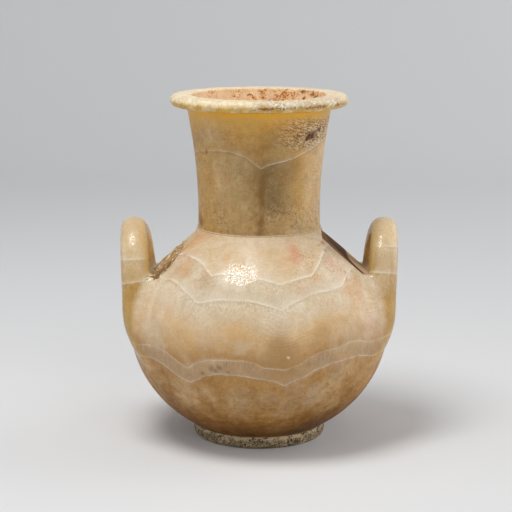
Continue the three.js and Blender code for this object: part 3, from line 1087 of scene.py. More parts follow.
def neck_specks(n, colour, vector, streaks, tone, honey):
    """Slanted grains of crust, dark and light specks, and dust low down."""
    dark, light = n.specks(vector, 0.75, 0.9), n.specks(n.moved(vector, (17, 5, 60)), 0.8, 0.9)
    speckled = n.attribute("speckled")
    return n.coats(
        colour,
        ((0.17, 0.085, 0.03), n.step(streaks, 0.5, 0.6), "grainy", 0.95),
        ((0.80, 0.61, 0.40), n.step(streaks, 0.49, 0.38), "grainy", 0.95),
        ((0.22, 0.13, 0.03), dark["Specks"], n.plus(0.2, n.times(speckled, 0.55))),
        (shade(honey, 0.9), light["Specks"], n.plus(0.16, n.times(speckled, 0.45))),
        (n.grained((0.46, 0.37, 0.24), tone), "dusty", 0.5))


def neck_marks(n, colour, vector, pale):
    """The neck's pale line, its brown streak, its dark blots and the painted glow under the lip."""
    vein = n.group("Vein", vector=vector, above=n.attribute("line_1"), width=0.8, veil=4.0)
    spotted = n.plus(0.85, n.times(n.specks(vector, 1.2, 0.9)["Specks"], 0.5))
    blots = n.math("MULTIPLY", n.attribute("blot"), spotted, clamp=True)
    return n.coats(
        colour,
        (shade(GREY_STONE, 0.55), vein["Shade"], 0.3),
        (pale, vein["Veil"], 0.12),
        (pale, vein["Line"], "vein", 0.5),
        ((0.20, 0.09, 0.012), "streak", 0.85),
        ((0.085, 0.02, 0.006), blots),
        # Painted glow of light through the stone under the lip
        ((0.76, 0.46, 0.10), "glow", 0.75),
        ((0.84, 0.46, 0.035), "seam"))


def lip_colour(n, vector, crust, tone, cream):
    """The lip: amber below, cream above with a painted highlight along its upper edge, smeared, crusted
    white on one side, with flecks and grit.
    """
    height, crusted = n.split(vector)["Z"], n.attribute("crusted")
    ragged = n.plus(height, n.times(n.minus(n.noise(vector, 6, detail=4), 0.5), 7.0))
    colour = n.mix(n.step(ragged, 273.6, 276.6), (0.66, 0.40, 0.06), cream)
    smear = n.noise(n.stretched(vector, (1, 1, 1.5)), 17, detail=4, roughness=0.6, distortion=0.4)
    colour = n.coats(
        colour,
        ((0.92, 0.80, 0.57), n.step(smear, 0.44, 0.7, 0.0, 0.75)),
        ((0.62, 0.41, 0.14), n.step(smear, 0.48, 0.30, 0.0, 0.5)),
        # Painted highlight along the lip's upper edge
        ((0.95, 0.83, 0.60), n.step(ragged, 275.5, 278.5, 0.0, 0.5)))
    colour = n.grained(colour, tone)
    white = n.mix(crust["Pores"], (1.0, 0.92, 0.77), (0.44, 0.19, 0.05))
    white = n.mix(crust["Pale"], n.mix(0.25, colour, (0.56, 0.30, 0.09)), white)
    colour = n.over(colour, white, crusted)
    row = n.times(n.step(height, 270, 272), n.step(height, 277, 274.5), n.plus(0.3, crusted))
    flecks = n.specks(vector, 1.5, n.plus(0.42, n.times(row, 0.45)))
    grit = n.specks(n.moved(vector, (3, 9, 27)), 0.8, 0.85)
    return n.coats(
        colour,
        ((0.34, 0.15, 0.035), flecks["Specks"], n.plus(0.5, n.times(row, 0.4))),
        ((0.52, 0.33, 0.12), grit["Specks"], 0.35))


def mouth_colour(n, vector, tone, stain):
    """The inside, with its rusty clouds and specks."""
    rust = n.specks(vector, 1.7, n.plus(0.48, n.times(n.attribute("stained"), 0.4)))
    colour = n.mix(n.times(rust["Cloud"], 0.85), (0.90, 0.62, 0.35), (0.82, 0.36, 0.08))
    return n.over(n.grained(colour, tone), stain, rust["Specks"])


def neck_material(colours):
    """The neck's and lip's stone: amber at the top, olive and grey below, a crusted lip."""
    n, inputs = new_material("neck travertine", 0.42, glow=0.06, coat=0.06)
    vector = n.millimetres()
    grain = n.group("Stone grain", vector=vector, ripple=0.55, mottle=1.0, fibre=0.15)
    crust = n.group("Broken stone", vector=vector, size=3.0)
    slanted = n.stretched(n.turned(vector, "Y", math.radians(-24)), (0.3, 0.3, 1))
    streaks = n.noise(slanted, 0.95, detail=2, roughness=0.6, distortion=0.8)
    tone = grain["Tone"]
    honey, pale, cream, stain = tints(colours, "honey", "vein", "cream", "stain")
    colour = neck_ground(n, grain, colours)
    colour = neck_specks(n, colour, vector, streaks, tone, honey)
    colour = neck_marks(n, colour, vector, pale)
    colour = n.over(colour, lip_colour(n, vector, crust, tone, cream), "lip")
    n.feed(inputs["Base Color"], n.over(colour, mouth_colour(n, vector, tone, stain), "inside"))
    crusted, blot = n.attribute("crusted"), n.attribute("blot")
    dull = n.plus(n.step(tone, 0.8, 1.2, 0.52, 0.36), n.times(crusted, 0.25), n.times(blot, 0.4))
    n.feed(inputs["Roughness"], n.math("MINIMUM", dull, 1.0))
    grains = n.times(n.minus(0.5, streaks), n.attribute("grainy"), 4.0)
    pebbled = n.plus(n.times(crust["Height"], crusted, 6.0), grains)
    relief(n, inputs, n.plus(pebbled, n.times(grain["Height"], 0.9)), 0.3)


def foot_material(colours):
    """Grey, pitted stone with pale crust, and a painted highlight along its chipped top edge."""
    n, inputs = new_material("weathered foot stone", 0.85)
    vector, (base,) = n.millimetres(), tints(colours, "crust")
    crust = n.group("Broken stone", vector=vector, size=1.8)
    grit, pits = n.specks(n.moved(vector, (7, 2, 40)), 0.75, 1.0), n.specks(vector, 1.2, 0.8)
    cloud = n.step(n.noise(vector, 9, detail=4), 0.45, 0.65)
    colour = n.coats(
        n.mix(crust["Pale"], shade(base, 0.28), shade(base, 1.1)),
        ((0.66, 0.52, 0.33), grit["Specks"], 0.5),
        # Pale clouds, and a painted highlight along the chipped top edge
        ((0.78, 0.61, 0.38), n.plus(n.times(cloud, 0.15), n.attribute("edge")), 0.75),
        ((0.05, 0.033, 0.018), pits["Specks"], 0.9),
        ((0.08, 0.055, 0.03), crust["Pores"]))
    n.feed(inputs["Base Color"], colour)
    n.feed(inputs["Roughness"], n.step(crust["Height"], 0, 1, 0.95, 0.7))
    relief(n, inputs, n.minus(crust["Height"], n.times(pits["Specks"], 0.4)), 0.9)


def bedding_material(colours):
    """Crumbly plaster in the joints, darker at the foot."""
    n, inputs = new_material("joint plaster", 0.9)
    umber, = tints(colours, "umber")
    vector = n.millimetres()
    speckle = n.noise(vector, 1.5, detail=4)
    pale = n.mix(n.step(n.split(vector)["Z"], 40, 140), shade(umber, 0.5), (0.74, 0.565, 0.355))
    n.feed(inputs["Base Color"], n.mix(n.step(speckle, 0.4, 0.65), n.mix(0.25, pale, DARK_STONE_AND_SHADOW), pale))
    relief(n, inputs, speckle, 0.2)


def floor_material():
    """Plain pale paper."""
    n, inputs = new_material("pale floor", 0.9)
    tone = n.noise(n.millimetres(), 60)
    n.feed(inputs["Base Color"], n.mix(tone, (0.595, 0.59, 0.575), (0.605, 0.60, 0.585)))
    inputs["Specular IOR Level"].default_value = 0.1


# Turning lathe: a Geometry Nodes tree that turns an outline about Z

LATHE_INPUTS = (
    ("Outline", "Geometry", None), ("Turns", "Int", 300), ("Rings", "Int", 200),
    ("Wear Depth", "Float", 0.0002), ("Wear Size", "Float", 0.02), ("Seed", "Float", 0.0),
    ("Material", "Material", None))
WELD_DISTANCE = 0.02 * MM
WEAR_MIDDLE = 0.62  # noise above this stands out, noise below it sinks in


def lathe_tree():
    """Turns the outline in the XZ plane into a ring of stone and wears its surface."""
    tree = bpy.data.node_groups.new("Stone lathe", "GeometryNodeTree")
    tree.interface.new_socket("Geometry", in_out="OUTPUT", socket_type="NodeSocketGeometry")
    for name, kind, default in LATHE_INPUTS:
        made = tree.interface.new_socket(name, in_out="INPUT", socket_type=f"NodeSocket{kind}")
        if default is not None:
            made.default_value = default
    n = Nodes(tree)
    given, result = n.node("NodeGroupInput").outputs, n.node("NodeGroupOutput").inputs
    grid = n.node("GeometryNodeMeshGrid", {
        "Size X": 1, "Size Y": 1, "Vertices X": given["Turns"], "Vertices Y": given["Rings"]})
    place_of = n.node("GeometryNodeInputPosition").outputs[0]
    split = n.split(place_of)
    ring = n.times(n.plus(split["Y"], 0.5), n.minus(given["Rings"], 1))
    sample = n.node("GeometryNodeSampleIndex", {
        "Geometry": given["Outline"], "Value": place_of, "Index": n.math("ROUND", ring)},
        data_type="FLOAT_VECTOR", domain="POINT")
    turned = n.turned(sample.outputs["Value"], "Z", n.times(split["X"], 2 * math.pi))
    surface = n.node("GeometryNodeSetPosition", {"Geometry": grid.outputs["Mesh"], "Position": turned})
    welded = n.node("GeometryNodeMergeByDistance", {
        "Geometry": surface.outputs[0], "Distance": WELD_DISTANCE})
    noise = n.node("ShaderNodeTexNoise", {
        "W": given["Seed"], "Scale": n.math("DIVIDE", 1.0, given["Wear Size"]), "Detail": 3},
        noise_dimensions="4D")
    depth = n.times(n.minus(noise.outputs["Fac"], WEAR_MIDDLE), given["Wear Depth"])
    normal = n.node("GeometryNodeInputNormal").outputs[0]
    worn = n.node("GeometryNodeSetPosition", {
        "Geometry": welded.outputs[0], "Offset": n.vector("SCALE", normal, depth)})
    smooth = n.node("GeometryNodeSetShadeSmooth", {"Geometry": worn.outputs[0]})
    real = n.node("GeometryNodeRealizeInstances", {0: smooth.outputs[0]})
    dressed = n.node("GeometryNodeSetMaterial", {"Geometry": real.outputs[0], "Material": given["Material"]})
    n.feed(result[0], dressed.outputs[0])
    return tree


def evenly(outline, step):
    """The outline with its own points kept and its long stretches divided."""
    result = [outline[0]]
    for a, b in zip(outline, outline[1:]):
        parts = max(1, round(math.dist(a, b) / step))
        for i in range(1, parts + 1):
            result.append((a[0] + (b[0] - a[0]) * i / parts, a[1] + (b[1] - a[1]) * i / parts))
    return result


def turn_stone(name, outline, material, step, **inputs):
    """A turned piece: the outline as edges, the lathe tree on it, and its result as a mesh."""
    tree = bpy.data.node_groups.get("Stone lathe") or lathe_tree()
    points = [(r, 0, z) for r, z in evenly(outline, step)]
    piece = mesh_object(name, points, [], [(i, i + 1) for i in range(len(points) - 1)])
    modifier = piece.modifiers.new("lathe", "NODES")
    modifier.node_group = tree
    sockets = {s.name: s.identifier for s in tree.interface.items_tree if s.in_out == "INPUT"}
    modifier[sockets["Material"]] = material
    modifier[sockets["Rings"]] = len(points)
    for key, value in inputs.items():
        modifier[sockets[key.replace("_", " ").title()]] = value
    apply_modifiers(piece)
    facing = bmesh.new()
    facing.from_mesh(piece.data)
    bmesh.ops.recalc_face_normals(facing, faces=facing.faces)
    facing.to_mesh(piece.data)
    facing.free()
    return piece


def bezier(points, steps):
    """Points on a cubic curve, both ends included."""
    a, b, c, d = (np.array(p, float) for p in points)
    t = np.linspace(0, 1, steps + 1)[:, None]
    curve = (1 - t) ** 3 * a + 3 * (1 - t) ** 2 * t * b + 3 * (1 - t) * t**2 * c + t**3 * d
    return [tuple(p) for p in curve]


def arc(centre, radius, start, end, steps):
    angles = np.radians(np.linspace(start, end, steps + 1))
    return [(centre[0] + radius * math.cos(a), centre[1] + radius * math.sin(a)) for a in angles]


def neck_outline():
    """From the spigot's foot up the outside, over the lip and down the inside."""
    spigot_foot, foot, top = NECK_LOW[2], NECK_BED[1][2], NECK_HIGH[2] - 0.1
    third, side_steps = 33, 60
    base, waist, flare, under_lip = 49.6, 48.2, 52, 58
    lip, mouth, mouth_rounding, thick, wall = 71.4, 53.4, 2, 9.4, 8.2
    spigot, spigot_wall = 46.9, 4.6
    half = thick / 2
    bottom = [(spigot - spigot_wall, spigot_foot), (spigot, spigot_foot), (spigot, foot)]
    outside = bezier([(base, foot), (waist, foot + third), (flare, foot + 2 * third),
                      (under_lip, top - thick - 1.2)], side_steps)
    round_lip = arc((lip - half, top - half), half, -90, 90, 24)
    round_mouth = arc((mouth + mouth_rounding, top - mouth_rounding), mouth_rounding, 90, 180, 8)
    inside = bezier([(mouth, top - mouth_rounding), (flare - wall, foot + 2 * third),
                     (waist - wall, foot + third), (spigot - spigot_wall, spigot_foot)], side_steps)
    return [*bottom, *outside, *round_lip, *round_mouth, *inside[1:]]


def foot_outline():
    """From the bore along the sole, up the bulging side, over the top and down the bore."""
    full, height = FOOT_HIGH[0] - INSET, FOOT_HIGH[2]
    sole_bore, sole, side, top, step = 44, 51.5, 53.8, 52.4, 4.5
    return [(sole_bore, 0), (sole, 0), (sole + 1.3, 0.6), (side, 2.2), (full, 4.2), (full, 6), (side, 8.2),
            (top + 0.6, 9.6), (top, height), (FOOT_BORE, height), (FOOT_BORE, step), (sole_bore, 0)]


def bed_outline(inner, outer, low, high):
    """A ring with a slightly bulging side."""
    bulge = 0.25
    return [(inner, low), (outer, low), (outer + bulge, (low + high) / 2), (outer, high), (inner, high),
            (inner, low)]


# Operators. The levels in what they store are degrees from the front, millimetres or shares

TRIM_TURNS = 224  # facets round the cavity and the joints' cuts
BED_TURNS = 240  # facets round the plaster beds


class KRATER_OT_materials(bpy.types.Operator):
    """Make the stone's node groups and materials"""

    bl_idname = "krater.materials"
    bl_label = "Materials"

    def execute(self, context):
        colours = context.scene.krater_colours
        for make in (grain_group, vein_group, speck_group, crust_group):
            make()
        for make in (banded_material, neck_material, foot_material, bedding_material):
            make(colours)
        return {"FINISHED"}


class KRATER_OT_body(bpy.types.Operator):
    """Carve the globe and its two handles from one flowing skin"""

    bl_idname = "krater.body"
    bl_label = "Globe and handles"

    def execute(self, context):
        sizes = context.scene.krater_sizes
        carving = Carving(sizes)
        skin = self.skin(carving, sizes)
        trim = self.trim(carving.globe)
        boolean(skin, trim, "INTERSECT")
        drop(trim)
        globe = copy_of(skin, "carved_globe")
        for side in ("right", "left"):
            region = self.region(carving, side)
            handle = copy_of(skin, f"carved_handle_{side}")
            boolean(handle, region, "INTERSECT")
            boolean(globe, region, "DIFFERENCE")
            drop(region)
            self.dress(handle, carving)
            place(handle, "handle_stone", f"handle_{side}")
        drop(skin)
        self.dress(globe, carving)
        place(globe, "globe_stone", "globe")
        return {"FINISHED"}

    def skin(self, carving, sizes):
        """The outside of globe and handles, worn and tooled."""
        broad_wear, fine_wear = 0.10, 0.04
        below, above = 16, 4
        step = sizes.skin_step / MM
        low = np.array([-HANDLE_HIGH[0], -GLOBE_HIGH[1], SEAT_LEVEL - below]) - 2 * step
        high = np.array([HANDLE_HIGH[0], GLOBE_HIGH[1], HANDLE_HIGH[2] + above]) + 2 * step
        points, quads = surface_net(sample_grid(carving.distance, low, high, step), low, step)
        for _ in range(3):
            slope = carving.slope(points)
            points = points - carving.distance(points)[:, None] * slope / (slope**2).sum(1)[:, None]
        normals = carving.slope(points)
        normals /= np.linalg.norm(normals, axis=1)[:, None]
        wear = -broad_wear * (1 + layered_noise(points, 18, 11))
        wear -= fine_wear * (1 + lattice_noise(points, 5, 15))
        depth = sizes.flat_roughness / MM
        wear -= self.roughness_at(carving, points) * depth * self.tooling(points)
        return mesh_object("stone_skin", points + normals * wear[:, None], quads)

    def tooling(self, points):
        """Strokes of a chisel along the left shoulder flat's slope."""
        cosine, sine = 0.76, 0.65
        down = points[:, 0] * cosine + points[:, 2] * sine
        across = points[:, 2] * cosine - points[:, 0] * sine
        strokes = np.stack([down * 0.5, points[:, 1] + 0.5 * down, across], -1)
        return np.abs(layered_noise(strokes, 7.5, 21)) + 0.4 * np.abs(lattice_noise(strokes, 3, 33))

    def roughness_at(self, carving, points):
        """Where the left shoulder flat is left rough from the chisel."""
        over = flat_distance(points) - carving.globe.distance(points)
        left = smooth_step(-57, -64, points[:, 0])
        ragged = layered_noise(points, 7, 92) - 3.4 * smooth_step(-64, -70, points[:, 0])
        off_handle = smooth_step(0.8, 3.5, carving.loop(points))
        return left * smooth_step(0.5, 2, over - 1.3 * ragged) * off_handle

    def trim(self, globe):
        """Everything that the finished globe and handles may fill: joints cut, cavity hollowed."""
        boss, boss_low, chamfer = 40.7, GLOBE_LOW[2], 1.2
        far, above, collar = 160, NECK_LEVEL + 30, FLAT_START[0] + 14
        outline = [(0, boss_low), (boss - chamfer, boss_low), (boss, boss_low + chamfer), (boss, SEAT_LEVEL),
                   (far, SEAT_LEVEL), (far, above), (collar, above), (collar, NECK_LEVEL),
                   (NECK_BORE, NECK_LEVEL)]
        return turned_solid("trim", outline + globe.cavity()[::-1], TRIM_TURNS)

    def region(self, carving, side):
        """The part of the skin that belongs to a handle, down to its housing in the globe."""
        start, far_away, step = 50, 30.0, 2.0
        margin, housing_depth = 2.4, 4.5
        loop = carving.loops[side]

        def field(points):
            body, _ = carving.stone(points)
            grown = np.full(len(points), far_away)
            near = loop.side * points[:, 0] > start
            grown[near] = loop.distance(points[near]) - margin
            return np.maximum(grown, -(body + housing_depth))

        low = np.array([start, -72, 48])
        high = np.array([HANDLE_HIGH[0] + 8, 72, HANDLE_HIGH[2] + 8])
        if loop.side < 0:
            low[0], high[0] = -high[0], -low[0]
        points, quads = surface_net(sample_grid(field, low, high, step), low, step)
        return mesh_object("region", points, quads)

    def dress(self, piece, carving):
        """Keeps what the material shows at each vertex."""
        finish_mesh(piece)
        points, normals = vertices_of(piece)
        rough = self.roughness_at(carving, points)
        handle = smooth_step(3, 0.5, carving.loop(points))
        handle *= smooth_step(-2, 3, carving.globe.distance(points))
        store_lines(piece, points)
        store(piece, "rough", rough)
        self.store_handle(piece, points, normals, handle)
        self.store_flats(piece, points, carving)
        self.store_turning(piece, points, handle)
        self.store_marks(piece, points, carving.globe)
        shares = {"orange": 1 - rough, "pale": (1 - handle) * (1 - rough)}
        for name, (seed, rows) in PATCHES.items():
            store(piece, name, patches(points, rows, seed) * shares.get(name, 1))
        piece.data.materials.clear()
        piece.data.materials.append(bpy.data.materials["banded travertine"])

    def store_handle(self, piece, points, normals, handle):
        """How golden a handle is, more so on its inner side, where gold is painted light over its shade, and
        its pale crown.
        """
        right = points[:, 0] > 0
        outward = (points * normals)[:, :2].sum(1) / np.maximum(radius_of(points), 1)
        # The inner side, whose extra gold is painted light over its shade
        inner = handle * smooth_step(0.1, -0.7, outward)
        golden = handle * np.where(right, 0.75, 1.05) + inner * np.where(right, 1, 0.45)
        store(piece, "handle", np.clip(golden, 0, 1.6))
        crown = np.where(right, 0.9, 0.35) * smooth_step(148, 166, points[:, 2])
        store(piece, "crown", crown * handle)

    def store_flats(self, piece, points, carving):
        """The shoulder flats, and on the right one its rust, its paler facet and the painted shadow in its
        crevice.
        """
        loop, level = carving.loop(points), flat_distance(points)
        _, flat = carving.stone(points)
        ragged = layered_noise(points, 6, 91)
        right = (points[:, 0] > 50) * smooth_step(-1, 3, loop)
        on_flat = right * smooth_step(0.45, 0.8, flat)
        belly = carving.globe.radius_at(points[:, 2])
        edge = np.sqrt(np.maximum(belly**2 - points[:, 0] ** 2, 1))
        behind = (points[:, 1] + edge) / (2 * edge) + 0.04 * ragged
        out = (points[:, 0] - 54) / 28
        line = 0.62 - 0.62 * out
        facet = smooth_step(line + 0.14, line + 0.2, behind) * smooth_step(0.62, 0.74, out)
        # The band behind the front edge where the painted shadow falls
        dark = smooth_step(line - 0.12, line - 0.04, behind) * smooth_step(-0.1, 0.15, out)
        near = 0.72 + 0.26 * smooth_step(line + 0.2, line + 0.08, behind)
        beside = 0.4 * right * smooth_step(-5 + 2 * ragged, -2, level) * smooth_step(0.5, 0.2, out)
        store(piece, "flat", flat * (1 - smooth_step(2, 0.5, loop)))
        store(piece, "rust", np.maximum(on_flat * (1 - facet), beside))
        store(piece, "facet", on_flat * facet)
        store(piece, "crevice", near * on_flat * dark * (1 - facet))

    def store_turning(self, piece, points, handle):
        """A brown streak down the belly, and fine ripples round it."""
        azimuth, height = azimuth_of(points), points[:, 2]
        turn = azimuth - 9 + 2 * lattice_noise(points, 9, 62)
        wide = 6 + 9 * smooth_step(108, 86, height)
        store(piece, "streak", smooth_step(wide, 0.5, np.abs(turn)) * between(height, 62, 80, 94, 122))
        rippled = 0.2 + 0.8 * smooth_step(0.35, 0.85, np.sin(np.radians(azimuth + 45)))
        store(piece, "rippled", 0.95 * rippled * between(height, 84, 96, 122, 140) * (1 - handle))

    def store_marks(self, piece, points, globe):
        """Rusty spots, dark blots and pale marks, with a painted highlight: a soft pale line beside the left
        handle.
        """
        store(piece, "spots", marks(points, RUST_MARKS, globe.place, 2))
        store(piece, "blot", marks(points, DARK_MARKS, globe.place, 2.5))
        # The painted highlight along the crease beside the left handle
        angles, levels = np.array(HIGHLIGHT_BESIDE_HANDLE).T
        away = azimuth_of(points) - np.interp(points[:, 2], levels, angles)
        away = np.abs(away + 0.35 * lattice_noise(points, 3, 63))
        light = 0.42 * smooth_step(2.6, 0.2, away) * between(points[:, 2], 94, 118, 138, 142)
        store(piece, "glint", np.maximum(marks(points, PALE_MARKS, globe.place, 2.5), light))


class KRATER_OT_neck(bpy.types.Operator):
    """Turn the neck and its lip"""

    bl_idname = "krater.neck"
    bl_label = "Neck and lip"

    def execute(self, context):
        sizes = context.scene.krater_sizes
        material = bpy.data.materials["neck travertine"]
        neck = turn_stone("turned_neck", neck_outline(), material, 1.4, turns=sizes.turns,
                          wear_depth=0.35 * MM, wear_size=16 * MM, seed=4.0)
        points, normals = vertices_of(neck)
        azimuth = azimuth_of(points)
        lip, crusted = self.lip(points, azimuth)
        chips = crusted * 0.9 * np.abs(layered_noise(points, 4.5, 83))
        chips += lip * 0.35 * np.abs(layered_noise(points, 6, 84))
        points -= normals * chips[:, None]
        move_vertices(neck, points)
        finish_mesh(neck)
        store(neck, "lip", lip)
        store(neck, "crusted", crusted)
        radius, height = radius_of(points), points[:, 2]
        outer = smooth_step(46.9, 47.6, radius)
        self.store_grain(neck, points, azimuth, height, outer)
        self.store_tones(neck, points, azimuth, height, outer)
        self.store_glow(neck, points, azimuth, radius, outer)
        self.store_mouth(neck, points, radius, outer)
        place(neck, "neck_stone", "neck")
        return {"FINISHED"}

    def lip(self, points, azimuth):
        """How far each vertex belongs to the lip, and to the crust on its right side."""
        top, height = NECK_HIGH[2], points[:, 2]
        lip = smooth_step(top - 9.8, top - 8.8, height + 0.3 * layered_noise(points, 9, 81))
        lip *= smooth_step(53.2, 54.4, radius_of(points))
        crusted = lip * smooth_step(-14, 8, azimuth + 6 * layered_noise(points, 7, 82))
        return lip, crusted * smooth_step(84, 60, azimuth) * smooth_step(top - 8, top - 5.5, height)

    def store_grain(self, neck, points, azimuth, height, outer):
        """The pale line, the streak down the front, the dark blots and where the stone is grainy."""
        above = above_line(points, NECK_LINE)
        store(neck, "line_1", above + 0.3 * lattice_noise(points, 4, 52))
        store(neck, "vein", 0.35 + 0.65 * between(azimuth, -6, 4, 70, 100))
        turn = np.abs(azimuth - 2 + 2.0 * lattice_noise(points, 11, 61))
        wide = 4.5 + 4 * smooth_step(196, 176, height) + 4 * smooth_step(208, 222, height)
        streak = smooth_step(wide, 0.5, turn) * smooth_step(230, 221, height)
        store(neck, "streak", outer * streak * (0.6 + 0.4 * lattice_noise(points, 8, 62)))
        store(neck, "blot", marks(points, NECK_MARKS, neck_place, 2.8))
        grainy = (above > 0) * between(azimuth, 4, 38, 70, 100) * between(height, 236, 244, 262, 268)
        store(neck, "grainy", grainy)
        speckled = smooth_step(204, 186, height) * (0.5 + layered_noise(points, 16, 67))
        store(neck, "speckled", outer * np.clip(speckled, 0, 1))

    def store_tones(self, neck, points, azimuth, height, outer):
        """Broad patches: grey and light in front, warm at the sides, dusty low down, pale at the edges, with
        a painted rim light down the right edge.
        """
        middle = np.maximum(hump(azimuth, 10, 16) * between(height, 178, 200, 224, 242),
                            0.5 * hump(azimuth, 7, 13) * hump(height, 243, 12))
        grey = np.clip(middle + 0.25 * layered_noise(points, 14, 66), 0, 1)
        light = hump(azimuth, -19, 17) * between(height, 176, 192, 226, 244)
        sides = between(-azimuth, 30, 56, 90, 130) + between(azimuth, 24, 40, 40, 60)
        dusty = hump(azimuth, -14, 9) + hump(azimuth, 40, 7) + (np.abs(azimuth) > 90)
        dusty *= smooth_step(188, 174, height) * np.clip(0.7 + layered_noise(points, 10, 64), 0, 1)
        corner = np.hypot((azimuth - 36) * 0.8, height - 176) + 4 * layered_noise(points, 6, 68)
        # Pale patches, and a painted rim light down the right edge
        rim = np.maximum.reduce([
            hump(azimuth, -44, 14) * hump(height, 256, 14),
            0.9 * hump(azimuth, -37, 9) * hump(height, 218, 16),
            0.8 * smooth_step(14, 4, corner),
            between(azimuth, 34, 52, 80, 110) * smooth_step(262, 250, height)])
        for name, values in (
                ("grey", grey), ("light", light), ("sides", sides * smooth_step(254, 236, height)),
                ("dusty", dusty), ("rim", rim)):
            store(neck, name, outer * values)

    def store_glow(self, neck, points, azimuth, radius, outer):
        """The painted glow of light through the stone under the lip, which reaches lower at the left, and
        the bright seam at its top.
        """
        under = NECK_HIGH[2] - points[:, 2]
        below = under + layered_noise(points, 12, 69)
        under_lip = outer * smooth_step(8.8, 9.6, under) * (radius < 66) * (radius > 54)
        reach = 24 + 9 * smooth_step(18, -8, azimuth)
        store(neck, "glow", under_lip * smooth_step(reach, 11, below) ** 1.5)
        front = smooth_step(75, 35, np.abs(azimuth + 5))
        store(neck, "seam", under_lip * smooth_step(14.5, 12, below) * front)

    def store_mouth(self, neck, points, radius, outer):
        """The inside, and the part of it that is stained."""
        height = points[:, 2]
        inside = smooth_step(54.9, 53.2, radius) * smooth_step(259, 263, height) * (radius < 55)
        inside = np.maximum(inside, np.maximum(1 - outer, (radius < 49.5) & (height > 225)))
        store(neck, "inside", inside)
        turn = np.degrees(np.arctan2(points[:, 0], points[:, 1]))
        stained = np.maximum(0.9 * hump(turn, -18, 4), 0.8 * hump(turn, -7, 5))
        store(neck, "stained", np.maximum(stained, smooth_step(-4, 16, turn)))


class KRATER_OT_foot(bpy.types.Operator):
    """Turn the foot ring and pit it"""

    bl_idname = "krater.foot"
    bl_label = "Foot ring"

    def execute(self, context):
        sizes = context.scene.krater_sizes
        material = bpy.data.materials["weathered foot stone"]
        foot = turn_stone("turned_foot_ring", foot_outline(), material, 1.0, turns=sizes.turns,
                          wear_depth=sizes.pit_depth, wear_size=4 * MM, seed=9.0)
        points, normals = vertices_of(foot)
        ragged = layered_noise(points, 4.5, 95)
        edge = smooth_step(6.4, 8.6, points[:, 2] + 1.4 * ragged) * smooth_step(50, 51.5, radius_of(points))
        points -= normals * (edge * 0.5 * np.abs(ragged))[:, None]
        points[:, 2] = np.clip(points[:, 2], 0, FOOT_HIGH[2])
        move_vertices(foot, points)
        finish_mesh(foot)
        # The chipped top edge, which the material paints with a highlight
        store(foot, "edge", edge)
        place(foot, "foot_stone", "foot_ring")
        return {"FINISHED"}


class KRATER_OT_beds(bpy.types.Operator):
    """Lay the plaster beds in the two joints"""

    bl_idname = "krater.beds"
    bl_label = "Joint beds"

    def execute(self, context):
        squeezed_out = 0.8
        material = bpy.data.materials["joint plaster"]
        for name, node, (low, high), inner in (
                ("foot_joint_bed", "foot_bed", FOOT_BED, FOOT_BORE),
                ("neck_joint_bed", "neck_bed", NECK_BED, NECK_BORE)):
            outline = bed_outline(inner, high[0] + squeezed_out, low[2], high[2])
            bed = turn_stone(name, outline, material, 1.2, turns=BED_TURNS,
                             wear_depth=0.3 * MM, wear_size=3 * MM, seed=2.0)
            finish_mesh(bed)
            place(bed, "bedding", node)
        return {"FINISHED"}


# Camera, floor and light, with places and sizes in metres

CAMERA_PLACE = (-0.00252, -1.2643, 0.395)
CAMERA_PITCH = 11.079  # degrees below level
CAMERA_LENS = 110.96  # millimetres
CAMERA_SENSOR = 36  # millimetres
FLOOR_SIZE, FLOOR_BACK, FLOOR_BEND, FLOOR_RISE = 12.0, 2.2, 0.8, 2.5
LIGHTS_AIM = (0, 0, 0.14)
LIGHTS = (  # name, place, size, power in watts
    ("top softbox", (-0.33, -0.34, 1.40), 0.6, 10.4),
    ("front softbox", (1.7, -3.1, 1.46), 3.2, 37.6),
    ("left edge", (-2.86, 0.0, 1.15), 2.2, 15.5),
    ("right edge", (2.86, 0.88, 1.15), 3.3, 45.0))
SKY_COLOUR = (0.93, 0.95, 1.0, 1)
SKY_STRENGTH = 0.25


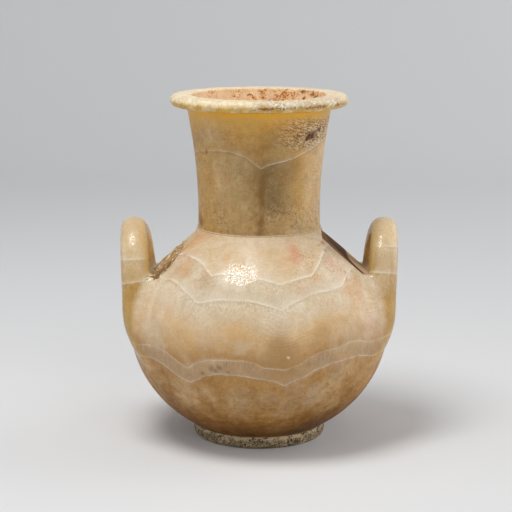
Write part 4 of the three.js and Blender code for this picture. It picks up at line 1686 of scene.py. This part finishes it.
class KRATER_OT_stage(bpy.types.Operator):
    """Set up the floor, the lights and the camera"""

    bl_idname = "krater.stage"
    bl_label = "Stage"

    def execute(self, context):
        scene = context.scene
        self.floor()
        self.camera(scene)
        for light in LIGHTS:
            self.light(*light)
        world = bpy.data.worlds.new("studio")
        world.use_nodes = True
        sky = world.node_tree.nodes["Background"]
        sky.inputs["Color"].default_value = SKY_COLOUR
        sky.inputs["Strength"].default_value = SKY_STRENGTH
        scene.world = world
        scene.view_settings.view_transform = "Standard"
        return {"FINISHED"}

    def floor(self):
        """A pale sheet that curves up behind the object."""
        half, bend_start = FLOOR_SIZE / 2, FLOOR_BACK - FLOOR_BEND
        profile = [(-half, 0), (bend_start, 0)]
        for angle in np.radians(np.linspace(6, 90, 15)):
            profile.append((bend_start + FLOOR_BEND * math.sin(angle), FLOOR_BEND * (1 - math.cos(angle))))
        profile.append((FLOOR_BACK, FLOOR_RISE))
        points = [(x, y, z) for y, z in profile for x in (-half, half)]
        faces = [(2 * i, 2 * i + 1, 2 * i + 3, 2 * i + 2) for i in range(len(profile) - 1)]
        floor = mesh_object("floor", np.array(points) / MM, faces)
        floor.data.shade_smooth()
        floor.data.materials.append(floor_material())

    def camera(self, scene):
        data = bpy.data.cameras.new("camera")
        data.sensor_width = CAMERA_SENSOR
        data.lens = CAMERA_LENS
        camera = add_object("camera", data)
        camera.location = CAMERA_PLACE
        camera.rotation_euler = (math.radians(90 - CAMERA_PITCH), 0, 0)
        scene.camera = camera

    def light(self, name, location, size, power):
        """A round softbox that faces the object."""
        data = bpy.data.lights.new(name, "AREA")
        data.shape = "DISK"
        data.size = size
        data.energy = power
        lamp = add_object(name, data)
        lamp.location = location
        facing = Vector(LIGHTS_AIM) - Vector(location)
        lamp.rotation_euler = facing.to_track_quat("-Z", "Y").to_euler()


class KRATER_PT_panel(bpy.types.Panel):
    """Shows the krater's sizes, colours and steps in the sidebar"""

    bl_idname = "KRATER_PT_panel"
    bl_label = "Travertine Krater"
    bl_space_type = "VIEW_3D"
    bl_region_type = "UI"
    bl_category = "Krater"

    def draw(self, context):
        layout = self.layout
        for group in (context.scene.krater_sizes, context.scene.krater_colours):
            for name in group.bl_rna.properties.keys():
                if name not in ("rna_type", "name"):
                    layout.prop(group, name)
        for operator in OPERATORS:
            layout.operator(operator.bl_idname)


OPERATORS = (KRATER_OT_materials, KRATER_OT_body, KRATER_OT_neck, KRATER_OT_foot, KRATER_OT_beds,
             KRATER_OT_stage)
CLASSES = (KraterSizes, KraterColours, *OPERATORS, KRATER_PT_panel)


def register():
    for cls in CLASSES:
        bpy.utils.register_class(cls)
    bpy.types.Scene.krater_sizes = PointerProperty(type=KraterSizes)
    bpy.types.Scene.krater_colours = PointerProperty(type=KraterColours)


def unregister():
    del bpy.types.Scene.krater_colours
    del bpy.types.Scene.krater_sizes
    for cls in reversed(CLASSES):
        bpy.utils.unregister_class(cls)


def main():
    register()
    bpy.ops.krater.materials()
    bpy.ops.krater.body()
    bpy.ops.krater.neck()
    bpy.ops.krater.foot()
    bpy.ops.krater.beds()
    bpy.ops.krater.stage()


if __name__ == "__main__":
    main()
